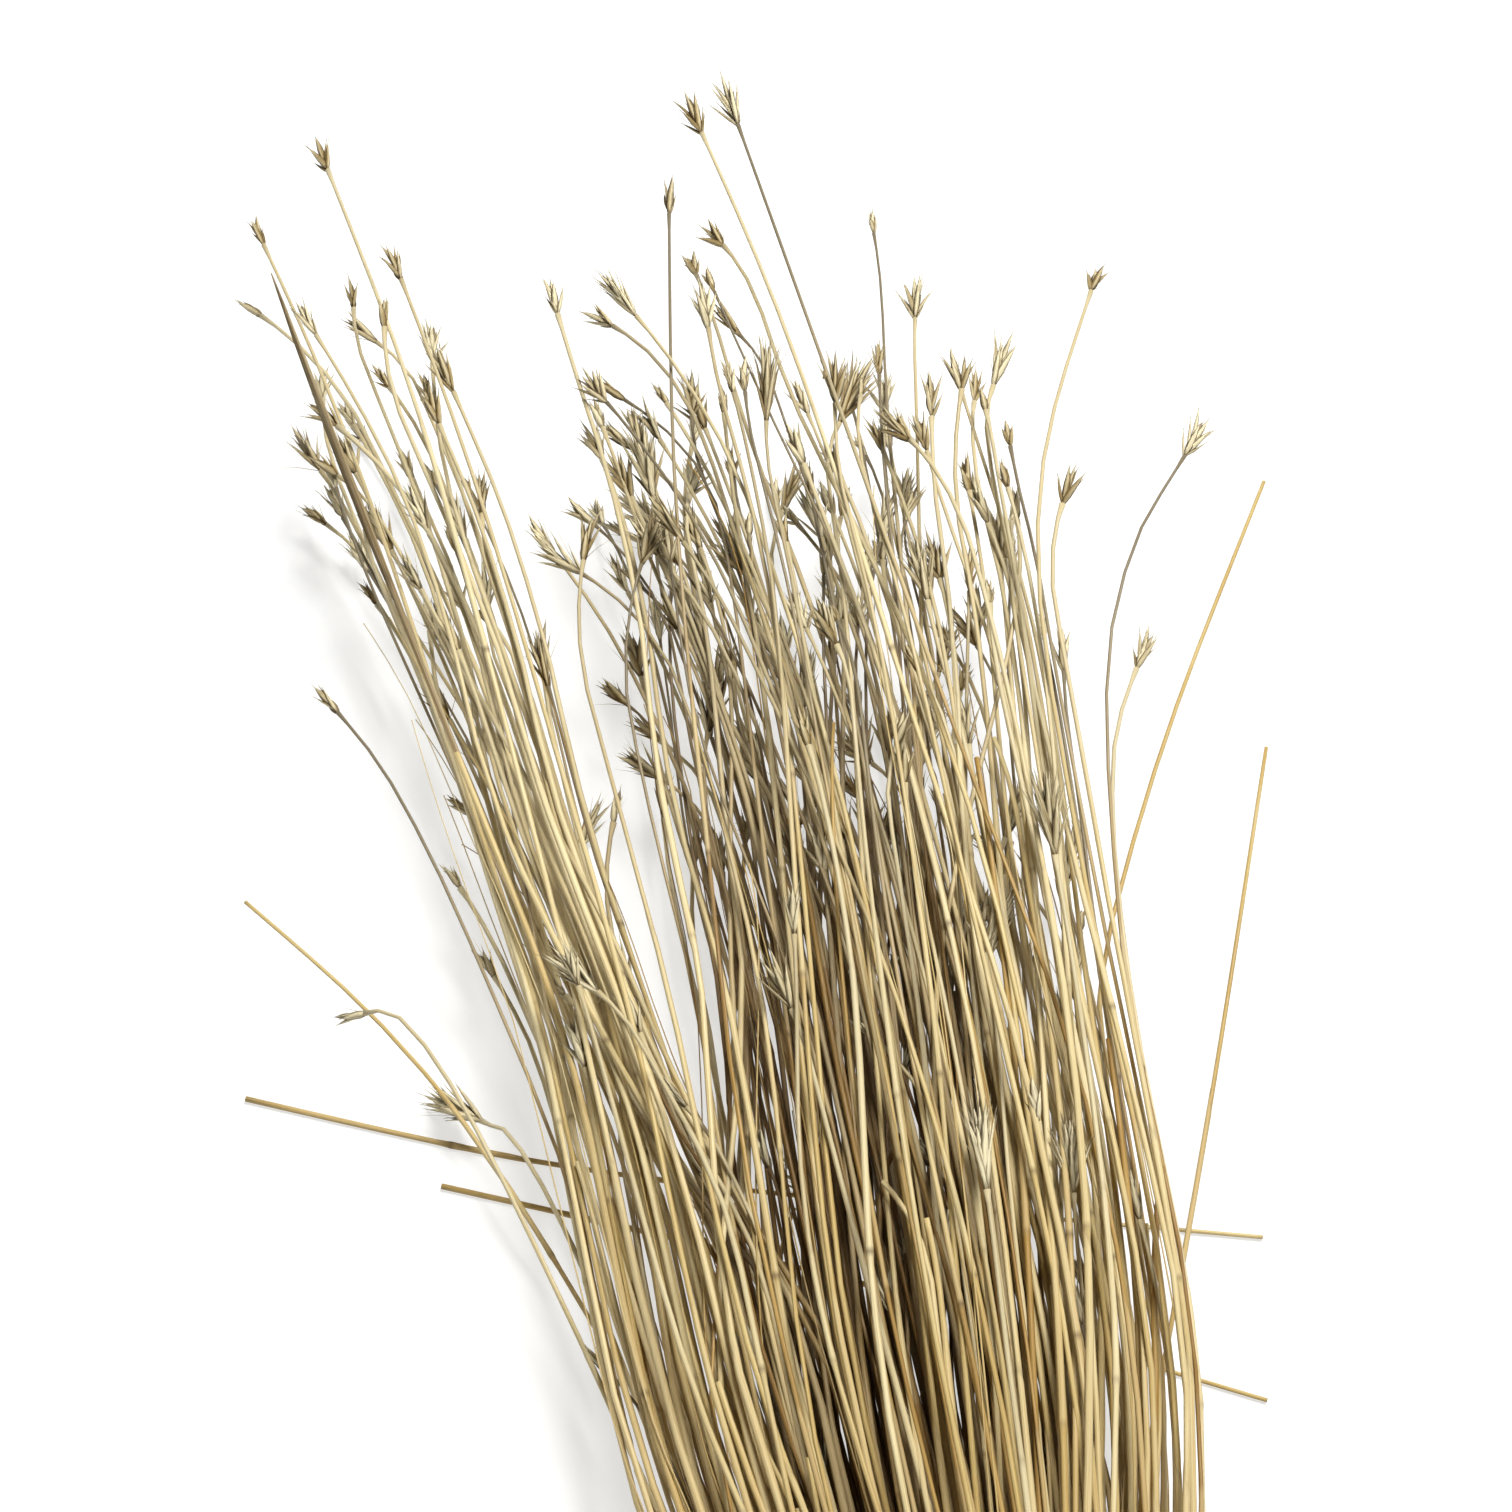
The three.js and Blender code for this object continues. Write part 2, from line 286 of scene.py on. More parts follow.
def joined(surfaces):
    """One surface from several: the faces of each are shifted by the points before it."""
    counts = np.cumsum([0] + [len(s.points) for s in surfaces])
    return Surface(
        np.concatenate([s.points for s in surfaces]),
        np.concatenate([s.quads + n for s, n in zip(surfaces, counts)]),
        np.concatenate([s.triangles + n for s, n in zip(surfaces, counts)]),
        np.concatenate([s.grain for s in surfaces]),
        np.concatenate([s.look for s in surfaces]),
    )


def loft(paths, side, over, section, grain, look):
    """Closed tubes along paths.

    Point (tube, ring, corner) = path point + side * section x + over * section z. The last two points
    of each tube are its path's ends, and close its first and last ring with a fan. grain and look hold
    a vector and four numbers for each ring corner.
    """
    tubes, rings = paths.shape[:2]
    corners = section.shape[2]
    across = section[..., 0:1] * side[:, :, None] + section[..., 1:2] * over[:, :, None]
    wall = (paths[:, :, None] + across).reshape(tubes, rings * corners, 3)
    points = np.concatenate([wall, paths[:, :1], paths[:, -1:]], axis=1)
    here = np.arange((rings - 1) * corners).reshape(rings - 1, corners)
    beside = np.roll(here, -1, axis=1)
    quads = np.stack([here, here + corners, beside + corners, beside], axis=-1).reshape(-1, 4)
    first = np.arange(corners)
    second = np.roll(first, -1)
    last = (rings - 1) * corners
    start_fan = np.stack([np.full(corners, rings * corners), first, second], axis=-1)
    end_fan = np.stack([np.full(corners, rings * corners + 1), last + second, last + first], axis=-1)
    fans = np.concatenate([start_fan, end_fan])
    shift = (np.arange(tubes) * (rings * corners + 2))[:, None, None]

    def per_point(values):
        """Values of all points in order; each end point has the mean of the ring beside it."""
        values = np.broadcast_to(values, (tubes, rings, corners, values.shape[-1]))
        ends = [values[:, :1].mean(axis=2), values[:, -1:].mean(axis=2)]
        flat = values.reshape(tubes, rings * corners, -1)
        return np.concatenate([flat, *ends], axis=1).reshape(-1, values.shape[-1])

    return Surface(
        points.reshape(-1, 3),
        (quads + shift).reshape(-1, 4),
        (fans + shift).reshape(-1, 3),
        per_point(grain),
        per_point(look),
    )


def make_piece(name, surface, material, slot, *nodes, inside=None):
    """A mesh object at the origin with the surface's faces and per-point values.

    It rides the one body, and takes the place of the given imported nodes.
    """
    mesh = bpy.data.meshes.new(name)
    points = surface.points.copy()
    points[:, 2] = np.maximum(points[:, 2], FLOOR_GAP)
    mesh.vertices.add(len(points))
    mesh.vertices.foreach_set("co", points.astype(np.float32).ravel())
    corners = np.concatenate([surface.quads.ravel(), surface.triangles.ravel()])
    quad_starts = 4 * np.arange(len(surface.quads))
    triangle_starts = surface.quads.size + 3 * np.arange(len(surface.triangles))
    starts = np.concatenate([quad_starts, triangle_starts])
    mesh.loops.add(len(corners))
    mesh.loops.foreach_set("vertex_index", corners.astype(np.int32))
    mesh.polygons.add(len(starts))
    mesh.polygons.foreach_set("loop_start", starts.astype(np.int32))
    mesh.polygons.foreach_set("use_smooth", np.ones(len(starts), dtype=bool))
    mesh.update(calc_edges=True)
    grain = mesh.attributes.new("grain", "FLOAT_VECTOR", "POINT")
    grain.data.foreach_set("vector", surface.grain.astype(np.float32).ravel())
    look = mesh.attributes.new("look", "FLOAT_COLOR", "POINT")
    look.data.foreach_set("color", surface.look.astype(np.float32).ravel())
    # how deep each point lies in the mass, which sets the painted shade on the stems
    if inside is not None:
        depth = mesh.attributes.new("inside", "FLOAT", "POINT")
        depth.data.foreach_set("value", inside.astype(np.float32))
    mesh.materials.append(material)
    piece = bpy.data.objects.new(name, mesh)
    bpy.context.scene.collection.objects.link(piece)
    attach(piece, "root")
    if nodes:
        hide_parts(*nodes)
    return piece


# ---- stems -----------------------------------------------------------------------

STEM_CORNERS = 8
EVEN_RINGS = 24
RINGS_AT_A_BREAK = np.array([-3.6, -1.2, 0.0, 1.2, 3.6]) * MM
JOINTS = 3
FIRST_JOINT, LAST_JOINT = 0.16, 0.70  # shares of a stem's length
SHEATH_START = 1.2 * MM    # the length over which a sheath begins
SHEATH_EDGE = 1.6 * MM     # and over which it ends
SWELLING_REACH = 1.5 * MM
JOINT_RING_REACH = 0.8 * MM
EDGE_RING_REACH = 0.9 * MM
COLLAR_LENGTH = 2.5 * MM   # where a stem widens into its seed head
COLLAR_GROWTH = 0.55
HOLLOW_DEPTH = 1.6 * MM
HOLLOW_SHARE = 0.6         # the hollow's radius as a share of the stem's
BROKEN_SHARE = 0.6         # a broken straw ends at this share of a whole stem, short of the thin neck
GREY_SHARE = 0.26


class StemPlan:
    """Where the rings, joints and sheath ends of some stems sit, as shares of each stem's length."""

    def __init__(self, rng, lengths):
        self.lengths = lengths
        self.stems = len(lengths)
        middles = np.linspace(FIRST_JOINT, LAST_JOINT, JOINTS)
        self.joints = middles + rng.uniform(-0.09, 0.09, (self.stems, JOINTS))
        self.sheath_ends = self.joints + rng.uniform(0.05, 0.15, (self.stems, JOINTS))
        self.slant = rng.uniform(1.0, 3.5, (self.stems, JOINTS)) * MM
        self.slant_turn = rng.uniform(0, math.tau, (self.stems, JOINTS))
        breaks = np.concatenate([self.joints, self.sheath_ends], axis=1)
        close = breaks[:, :, None] + RINGS_AT_A_BREAK / lengths[:, None, None]
        even = 1 - (1 - np.linspace(0, 1, EVEN_RINGS)) ** 1.5
        even = np.broadcast_to(even, (self.stems, EVEN_RINGS))
        shares = np.concatenate([even, close.reshape(self.stems, -1)], axis=1)
        self.shares = np.sort(np.clip(shares, 0, 1), axis=1)


def stem_surface(rng, plan, paths, root_radius, neck_radius, tints, straw, cut_tips):
    """Round stems along their paths.

    Radius = root radius falling evenly to the neck radius, times 1 + the sheath's growth, a bell-shaped
    swelling at each joint and a collar under the seed head. A sheath ends on a slanting edge: its end
    share moves with the cosine of the angle round the stem. Cut ends and broken tips are hollow.
    """
    stems = plan.stems
    turn = even_turns(STEM_CORNERS)
    share = plan.shares[:, :, None]
    length = plan.lengths[:, None, None]
    taper = root_radius[:, None, None] + (neck_radius - root_radius)[:, None, None] * share
    sheath = np.zeros((stems, plan.shares.shape[1], STEM_CORNERS))
    swelling = np.zeros_like(share)
    ring = np.zeros_like(sheath)
    joint_ring, edge_ring = rng.uniform(0.2, 0.9, (2, stems, 1, 1))
    for k in range(JOINTS):
        joint = plan.joints[:, k, None, None]
        slanted = plan.slant[:, k, None, None] * np.cos(turn - plan.slant_turn[:, k, None, None])
        end = plan.sheath_ends[:, k, None, None] + slanted / length
        from_joint = (share - joint) * length
        from_end = (share - end) * length
        past_joint = smoothstep(from_joint / SHEATH_START + 0.5)
        before_end = 1 - smoothstep(from_end / SHEATH_EDGE + 0.5)
        sheath += past_joint * before_end
        swelling += np.exp(-((from_joint / SWELLING_REACH) ** 2))
        ring += joint_ring * np.exp(-((from_joint / JOINT_RING_REACH) ** 2))
        ring += 0.5 * edge_ring * np.exp(-((from_end / EDGE_RING_REACH) ** 2))
    collar = smoothstep((share - 1) * length / COLLAR_LENGTH + 1) * (0 if cut_tips else COLLAR_GROWTH)
    radius = taper * (1 + straw.sheath_growth * sheath + straw.joint_swell * swelling + collar)

    along, side, over = frames(paths)
    tint = tints[:, None, None] * np.ones_like(radius)
    circle = around(1.0, turn)
    section = radius[..., None] * circle
    way = share * (BROKEN_SHARE if cut_tips else 1.0) * np.ones_like(radius)
    look = np.stack([tint, way, np.clip(sheath, 0, 1), np.clip(ring, 0, 1)], axis=-1)
    offset = rng.uniform(0, 1, (stems, 1, 1, 3))
    length_way = np.broadcast_to(share * length, radius.shape)
    grain = np.concatenate([taper[..., None] * circle, length_way[..., None]], axis=-1) + offset

    def ended(values, inner=1.0):
        """The values with two more rings at each hollow end: its bottom and its inner rim."""
        parts = [values[:, :1] * inner] * 2 + [values]
        if cut_tips:
            parts += [values[:, -1:] * inner] * 2
        return np.concatenate(parts, axis=1)

    centres = ended(paths)
    centres[:, 0] += HOLLOW_DEPTH * along[:, 0]
    if cut_tips:
        centres[:, -1] -= HOLLOW_DEPTH * along[:, -1]
    sections = ended(section, HOLLOW_SHARE)
    return loft(centres, ended(side), ended(over), sections, ended(grain), ended(look))


def mixed_tints(rng, count):
    """How pale each stem is: about a quarter are grey-brown, and the others golden to pale."""
    grey = rng.uniform(0, 1, count) < GREY_SHARE
    return np.where(grey, rng.uniform(0.0, 0.3, count), rng.uniform(0.45, 1.0, count))


def disc(rng, count):
    """Points spread evenly over the unit disc: radius = square root of an even share."""
    reach = np.sqrt(rng.uniform(0, 1, count))
    turn = rng.uniform(0, math.tau, count)
    return around(reach, turn)


def at_least(values, least, bend):
    """Values that never fall below the least one.

    Near it they bend over smoothly: (value + least + sqrt((value - least)^2 + bend^2)) / 2.
    """
    return (values + least + np.sqrt((values - least) ** 2 + bend**2)) / 2


# ---- the mass --------------------------------------------------------------------

PARTING_SEARCH = slice(4, -4)  # the parting is not among the outermost strands
FURTHEST_HEAD = 0.30           # the y that the heads of the mass stay short of
TIE_HALF = 0.015               # the stems stay pressed together this far on both sides of the tie
TIE_REACH = 0.055              # and fan out over this length beyond it
PRESSED_GROWTH = 1.28          # by how much the stems' places spread to fill the twine
TWINE_SHARE = 1.28             # the inside of the twine, as a share of the cloud's half size
TWINE_SOFTNESS = 0.08
SKIN_SHARE, SKIN_DEPTH = 0.4, 0.55  # where in the cross section the painted shade inside the mass begins, and how softly
OUTER_MARGIN = 11 * MM         # how far stems stand outside their side's outermost strand near the tie
OUTER_LOSS = 3 * MM            # and how much less at the heads
INNER_MARGIN = 5 * MM          # how far they stand inside the parting at the heads
CLOSED_MARGIN = 28 * MM        # and how much further below, where the mass hasn't parted
STRAY_MARGIN = 40 * MM         # how much further the few go that cross the parting
OWN_SLACK = 0.4                # how much of a stem's own slack counts at the outer edge
PARTING_BEND = 10 * MM
SIDE_SOFTNESS = 9 * MM


class Mass:
    """The cloud of strand lines: its two sides, and the room of its strands, at each y.

    A parting, the widest space between neighbouring strands where the shortest one ends, divides it into
    two sides.
    """

    def __init__(self, tie_y):
        self.tie_y = tie_y
        self.lines = {name: centre_line(name) for name in STRANDS}
        lines = [extended(line) for line in self.lines.values()]
        self.ys = np.linspace(min(line[0, 1] for line in lines), FURTHEST_HEAD, 60)
        xs = np.array([np.interp(self.ys, line[:, 1], line[:, 0]) for line in lines])
        zs = np.array([np.interp(self.ys, line[:, 1], line[:, 2]) for line in lines])
        self.half_size = np.stack([np.ptp(xs, axis=0), np.ptp(zs, axis=0)], axis=-1) / 2
        self.middle = np.stack([v.max(axis=0) + v.min(axis=0) for v in (xs, zs)], axis=-1) / 2
        self.strands_across = math.sqrt(len(xs))
        shortest = min(line[-2, 1] for line in lines)
        there = xs[:, np.searchsorted(self.ys, shortest)]
        in_order = np.sort(there)
        spaces = np.diff(in_order)[PARTING_SEARCH]
        parting = in_order[PARTING_SEARCH][spaces.argmax()] + spaces.max() / 2
        self.is_left = dict(zip(self.lines, there < parting))
        self.edges = {}
        for is_left, side in ((True, xs[there < parting]), (False, xs[there >= parting])):
            self.edges[is_left] = (side.min(axis=0), side.max(axis=0))

    def room(self, y):
        """Half width and half height of one strand's space: the cloud's, shared out evenly."""
        return self.at(y, self.half_size) / self.strands_across

    def at(self, y, pairs):
        """Pairs of x and z values, given at each station, read off at any y."""
        return np.stack([np.interp(y, self.ys, pairs[:, k]) for k in (0, 1)], axis=-1)

    def inside(self, points):
        """How deep points lie in the mass: 0 at its skin and 1 near its middle.

        It fades out towards the heads, and towards the tie. The straw finish paints shade on the stems by
        it.
        """
        y = points[:, 1]
        apart = (points[:, [0, 2]] - self.at(y, self.middle)) / self.at(y, self.half_size)
        deep = 1 - smoothstep((np.linalg.norm(apart, axis=1) - SKIN_SHARE) / SKIN_DEPTH)
        return deep * (1 - smoothstep((y - 0.04) / 0.20)) * smoothstep((y - self.tie_y) / 0.12)

    def kept_to_side(self, name, x, y, strays, slack):
        """x kept inside the strand's own side of the mass, give or take each stem's own slack.

        Its outer edge is a little wider than the strands near the tie, and less so at the heads. The
        parting opens from y = -0.08 to 0.08, where it bends to the left, and is straight again at the
        heads. A few stems stray across it. At the tie x is left as it is.
        """
        low, high = (np.interp(y, self.ys, edge) for edge in self.edges[self.is_left[name]])
        opened = smoothstep((y + 0.08) / 0.16)
        slack = slack * smoothstep((y + 0.05) / 0.2)
        outer = OWN_SLACK * slack + OUTER_MARGIN - OUTER_LOSS * smoothstep((y - 0.05) / 0.15)
        inner = slack + INNER_MARGIN + CLOSED_MARGIN * (1 - opened) + STRAY_MARGIN * strays
        bend = -PARTING_BEND * opened * (1 - smoothstep((y - 0.10) / 0.12))
        if self.is_left[name]:
            low, high = low - outer, high + inner + bend
        else:
            low, high = low - inner + bend, high + outer
        kept = -at_least(-at_least(x, low, SIDE_SOFTNESS), -high, SIDE_SOFTNESS)
        return x + self.fan(y) * (kept - x)

    def pressed(self, places, y):
        """Places in the cross section, pressed out against the inside of the twine.

        The distance from the middle, as a share of the cloud's half size, is multiplied by
        PRESSED_GROWTH and stops softly at TWINE_SHARE. Where the stems fan out, nothing changes.
        """
        middle = self.at(y, self.middle)
        size = self.at(y, self.half_size)
        share = np.linalg.norm((places - middle) / size, axis=-1)
        pressed = -at_least(-PRESSED_GROWTH * share, -TWINE_SHARE, TWINE_SOFTNESS)
        growth = 1 + (1 - self.fan(y)) * (pressed / share - 1)
        return middle + growth[..., None] * (places - middle)

    def fan(self, y):
        """0 at the twine and the cut ends, and 1 where the stems fan out freely."""
        return smoothstep((y - self.tie_y - TIE_HALF) / TIE_REACH)


# ---- stems of the mass -----------------------------------------------------------

ROOT_PLACE = 0.9          # how far out in its strand's disc a stem can stand at the twine
ROOM_AT_TIE = 1.4         # the room that a place of 1 stands for at the tie, in rooms of a strand
ROOM_LOSS = 0.2           # and how much less where the stems fan out
BOWED_SHARE, BOW = 0.4, 16 * MM  # how many stems bow sideways, and by about how much
STRAY_SHARE = 0.08        # how many stems cross the parting
SLACK = (-20, 6)          # mm by which a stem keeps short of its side's edge, or passes it
NOD = 0.38                # how far a neck nods, as a share of its length
LOW_HEAD = 0.075          # heads this far behind their strand's tip are low in the mass
NEAR_HEADS = (0, 70)      # mm behind the strand's tip, for most heads
LOW_SHARE, LOW_HEADS = 0.2, (50, 190)    # how many heads sit lower, and by how many mm
FAR_SHARE, FAR_HEADS = {True: 0.28, False: 0.08}, (10, 50)  # the same beyond the tip, for left and right
HEAD_CLEARANCE = 3.0 * MM  # how much higher than its stem a seed head stays above the floor
ROUNDING = 40 * MM         # how far to both sides a rounded line is averaged


def nodding(rng, shares, lengths, amount):
    """How the neck bends: sideways and down, with the square of the way along the neck."""
    stems = len(lengths)
    neck = rng.uniform(0.03, 0.11, (stems, 1))
    way = np.clip((shares - 1) / neck + 1, 0, 1) ** 2
    turn = rng.uniform(0, math.tau, (stems, 1))
    size = (rng.uniform(0, 1, (stems, 1)) ** 2) * amount * neck * lengths[:, None]
    bend = np.stack([np.cos(turn), -0.25 * np.ones_like(turn), 0.5 * np.sin(turn) - 0.2], axis=-1)
    return (size * way)[..., None] * bend


def above_floor(z, shares):
    """Heights above the stem's own thickness, or above a seed head's near the tip."""
    return at_least(z, 1.2 * MM + HEAD_CLEARANCE * smoothstep((shares - 0.88) / 0.1), 1.0 * MM)


def strand_stems(rng, mass, name, tips, looseness, lift=0.0):
    """Plan and paths of the stems of one strand, up to the given y of their tips.

    A stem's path = the strand's line + the strand's room * a place in the unit disc, which drifts
    evenly from one place at the twine to another at the tip, looseness times as far out, + a slow
    sideways wave. Close to the twine the stems keep to their own place in the strand, and fill it. Stems
    that end low in the mass lean up, by the lift, so that their heads show.
    """
    line = mass.lines[name]
    tie_y = mass.tie_y
    count = len(tips)
    start = line[0, 1] + rng.uniform(0, 8, count) * MM
    plan = StemPlan(rng, tips - start)
    y = start[:, None] + plan.shares * (tips - start)[:, None]
    free = smoothstep((np.abs(y - tie_y) - TIE_HALF) / TIE_REACH)[..., None]
    root_place = ROOT_PLACE * disc(rng, count)[:, None]
    tip_place = looseness * disc(rng, count)[:, None]
    tip_place[..., 1] += lift * (tips < line[-1, 1] - LOW_HEAD)[:, None]
    drift = at_least((y - tie_y) / (line[-1, 1] - tie_y), 0.0, 0.06)[..., None]
    waves = rng.uniform(0.5, 1.9, (count, 1, 2))
    phase = rng.uniform(0, 1, (count, 1, 2))
    wave = 0.5 / waves * np.sin(math.tau * (waves * plan.shares[..., None] + phase))
    place = root_place + drift * (tip_place - root_place) + free * wave
    knots = extended(line)
    paths = smooth_line(knots, knots[:, 1], y)
    rooms = ROOM_AT_TIE - ROOM_LOSS * mass.fan(y)
    places = paths[..., [0, 2]] + mass.room(y) * place * rooms[..., None]
    paths[..., [0, 2]] = mass.pressed(places, y)
    bow = BOW * rng.normal(0, 1, (count, 1)) * (rng.uniform(0, 1, (count, 1)) < BOWED_SHARE)
    paths[..., 0] += bow * np.sin(math.pi * np.clip(drift[..., 0], 0, 1)) ** 1.5
    strays = rng.uniform(0, 1, (count, 1)) < STRAY_SHARE
    slack = rng.uniform(*SLACK, (count, 1)) * MM
    paths[..., 0] = mass.kept_to_side(name, paths[..., 0], y, strays, slack)
    paths[..., 1] = y
    paths += nodding(rng, plan.shares, plan.lengths, NOD)
    paths[..., 2] = above_floor(paths[..., 2], plan.shares)
    return plan, paths


def head_reach(rng, line, count, on_left):
    """The y of the heads of one strand: most close behind its tip, and a few far lower.

    Some stand beyond the tip, mainly on the left side.
    """
    back = np.concatenate([[0.0], rng.uniform(*NEAR_HEADS, count - 1)])
    low = rng.uniform(0, 1, count) < LOW_SHARE
    far = rng.uniform(0, 1, count) < FAR_SHARE[on_left]
    back = back * (1 - far) + low * rng.uniform(*LOW_HEADS, count) - far * rng.uniform(*FAR_HEADS, count)
    return np.minimum(line[-1, 1] - back * MM, FURTHEST_HEAD)


def rounded_line(line, tie_y):
    """Distances along a packed rod's line, and the points there, with its corners rounded off.

    Each point is the mean of the line around it, weighted by a raised cosine. At the tie the line stays
    as it is.
    """
    stations = distance_along(line)
    length = stations[-1]
    distances = np.linspace(0, length, 240)
    points = smooth_line(line, stations, distances)
    apart = np.abs(distances[:, None] - distances)
    reach = np.minimum(ROUNDING, np.minimum(distances, length - distances) + 1e-6)[:, None]
    weight = np.where(apart < reach, 1 + np.cos(math.pi * apart / reach), 0)
    rounded = weight @ points / weight.sum(axis=1, keepdims=True)
    free = smoothstep((np.abs(points[:, 1:2] - tie_y) - 0.03) / TIE_REACH)
    return distances, points + free * (rounded - points)


def single_stem(rng, distances, points):
    """Plan and path of one stem that follows a line of points."""
    plan = StemPlan(rng, distances[-1:])
    at = plan.shares[0] * distances[-1]
    return plan, np.stack([np.interp(at, distances, points[:, k]) for k in range(3)], axis=-1)[None]


# ---- seed heads ------------------------------------------------------------------

GLUME_WAY = np.array([0.0, 0.10, 0.30, 0.55, 0.80, 0.97, 1.0])
GLUME_WIDTH = np.array([0.40, 0.72, 1.0, 0.90, 0.52, 0.16, 0.03])
GLUME_SECTION = np.array([[1.0, -0.10], [0.0, 0.62], [-1.0, -0.10], [0.0, -0.30]])
BRISTLE_WAY = np.array([0.0, 0.55, 1.0])
THREAD_WIDTH = np.array([1.0, 0.7, 0.15])
BRISTLE_WIDTH = (0.10 * MM) * THREAD_WIDTH
AWN_WIDTH = (0.11 * MM) * THREAD_WIDTH
FRAY_WIDTH = 0.13 * MM * THREAD_WIDTH
BRISTLE_SECTION = np.array([[1.0, 0.0], [-0.5, 0.87], [-0.5, -0.87]])
BLEACHED = 0.7  # how much paler the heads are that sit low in the mass
LOW_Y = 0.10    # the y below which they do


def leaning(axis, side, over, turn, tilt):
    """The ways that a shape leans, tilted from the axis towards its turn, and that its keel faces."""
    outwards = np.cos(turn)[:, None] * side + np.sin(turn)[:, None] * over
    ahead = np.cos(tilt)[:, None] * axis + np.sin(tilt)[:, None] * outwards
    keel = np.cos(tilt)[:, None] * outwards - np.sin(tilt)[:, None] * axis
    return ahead, keel


def petals(bases, axis, side, over, turn, tilt, length, curl, way, width, section, tint):
    """Slim closed shapes that lean out from an axis.

    Each runs from its base along the axis tilted outwards by its own angle, towards its own turn round
    the axis. Its middle bows with the square of the way along it, by curl times its length. Its section
    is the given outline times the width at that way.
    """
    ahead, keel = leaning(axis, side, over, turn, tilt)
    across = np.cross(ahead, keel)
    reach = (length[:, None] * way)[..., None]
    bow = (length * curl)[:, None, None] * (way**2)[:, None]
    paths = bases[:, None] + reach * ahead[:, None] + bow * keel[:, None]
    shape = (paths.shape[0], len(way), len(section))
    sections = (width * np.ones((shape[0], 1)))[..., None, None] * section
    # 1 on the keel and 0 at the sides: the husk paints a highlight on the keel and shade in the hollows by
    #                                   it
    keel_mask = np.broadcast_to(np.clip(section[:, 1] / section[:, 1].max(), 0, 1), shape)
    look = np.stack([
        np.broadcast_to(tint[:, None, None], shape),
        np.broadcast_to(way[:, None], shape),
        keel_mask,
        np.zeros(shape),
    ], axis=-1)
    grain = np.concatenate([sections, np.broadcast_to(reach[:, :, None], shape + (1,))], axis=-1)
    grain = grain + tint[:, None, None, None]
    across, keel = (np.broadcast_to(v[:, None], paths.shape) for v in (across, keel))
    return loft(paths, across, keel, sections, grain, look)


def head_surface(rng, tips, axis, side, over, lengths, spread, glumes, bristles, heads):
    """Tufts of boat-shaped glumes with fine bristles.

    Glumes sit round the axis a golden turn apart. The lower ones lean out most, and the inner ones
    start further up the axis. Each glume carries a bristle at its tip, and loose bristles stand between
    them.
    """
    count = len(tips)

    def spread_out(values, copies):
        """Each head's value, repeated for each of its glumes or bristles."""
        return np.repeat(values, copies, axis=0)

    def tufted(copies, start, end):
        """Turn, tilt, length and base of each glume or bristle, placed from start to end up the head."""
        order = np.tile(np.arange(copies) / copies, count)
        turn = np.tile(np.arange(copies) * GOLDEN_TURN, count)
        turn = turn + spread_out(rng.uniform(0, math.tau, count), copies)
        turn = turn + rng.normal(0, 0.3, turn.shape)
        wide = spread_out(rng.uniform(0.7, 1.5, count), copies)
        tilt = spread * wide * (1.1 - 0.8 * order) + rng.normal(0, 0.05, turn.shape)
        length = spread_out(lengths, copies)
        rise = (start + (end - start) * order) * length
        bases = spread_out(tips, copies) + rise[:, None] * spread_out(axis, copies)
        return turn, tilt, length, bases

    head_tint = rng.uniform(0, 1, count) + BLEACHED * smoothstep((LOW_Y - tips[:, 1]) / 0.06)
    turn, tilt, length, bases = tufted(glumes, -0.04, 0.30)
    ways = [spread_out(v, glumes) for v in (axis, side, over)]
    glume_length = length * rng.uniform(0.56, 0.76, turn.shape)
    tint = np.clip(spread_out(head_tint, glumes) + rng.normal(0, 0.12, turn.shape), 0, 1.4)
    width = (heads.length * heads.glume_width * rng.uniform(0.8, 1.3, turn.shape))[:, None] * GLUME_WIDTH
    curl = rng.uniform(-0.04, 0.14, turn.shape)
    parts = [petals(bases, *ways, turn, tilt, glume_length, curl, GLUME_WAY, width, GLUME_SECTION, tint)]

    ahead, keel = leaning(*ways, turn, tilt)
    points = bases + (0.96 * glume_length)[:, None] * ahead + (0.92 * curl * glume_length)[:, None] * keel
    awn_length = length * rng.uniform(0.06, 0.2, turn.shape)
    awn_tint = np.clip(tint + 0.3, 0, 1)
    parts.append(petals(points, *ways, turn, tilt + 0.1, awn_length, curl, BRISTLE_WAY, AWN_WIDTH,
                        BRISTLE_SECTION, awn_tint))

    turn, tilt, length, bases = tufted(bristles, 0.0, 0.3)
    ways = [spread_out(v, bristles) for v in (axis, side, over)]
    tint = np.clip(spread_out(head_tint, bristles) + rng.normal(0.2, 0.2, turn.shape), 0, 1)
    bristle_length = length * rng.uniform(0.65, 1.0, turn.shape)
    curl = rng.uniform(-0.1, 0.2, turn.shape)
    parts.append(petals(bases, *ways, turn, 1.25 * tilt, bristle_length, curl, BRISTLE_WAY, BRISTLE_WIDTH,
                        BRISTLE_SECTION, tint))
    return joined(parts)


HEAD_KINDS = (
    # share of the heads, length and spread against the usual ones, glumes, loose bristles
    (0.24, 0.80, 0.70, 5, 1),
    (0.42, 1.00, 0.95, 8, 2),
    (0.26, 1.25, 1.10, 12, 4),
    (0.08, 1.65, 0.85, 26, 12),
)
SMALL_HEAD, MEDIUM_HEAD, LARGE_HEAD, BUSHY_HEAD = range(4)
SINGLE_HEADS = {
    "tall_stem_1": LARGE_HEAD,
    "tall_stem_2": LARGE_HEAD,
    "left_stem_4": SMALL_HEAD,
    "right_stem_2": LARGE_HEAD,
    "right_stem_3": LARGE_HEAD,
    "arched_stem": SMALL_HEAD,
    "drooping_stem": BUSHY_HEAD,
}


def mixed_kinds(rng, count):
    """Kinds of seed head, in their usual shares."""
    return rng.choice(len(HEAD_KINDS), count, p=[kind[0] for kind in HEAD_KINDS])


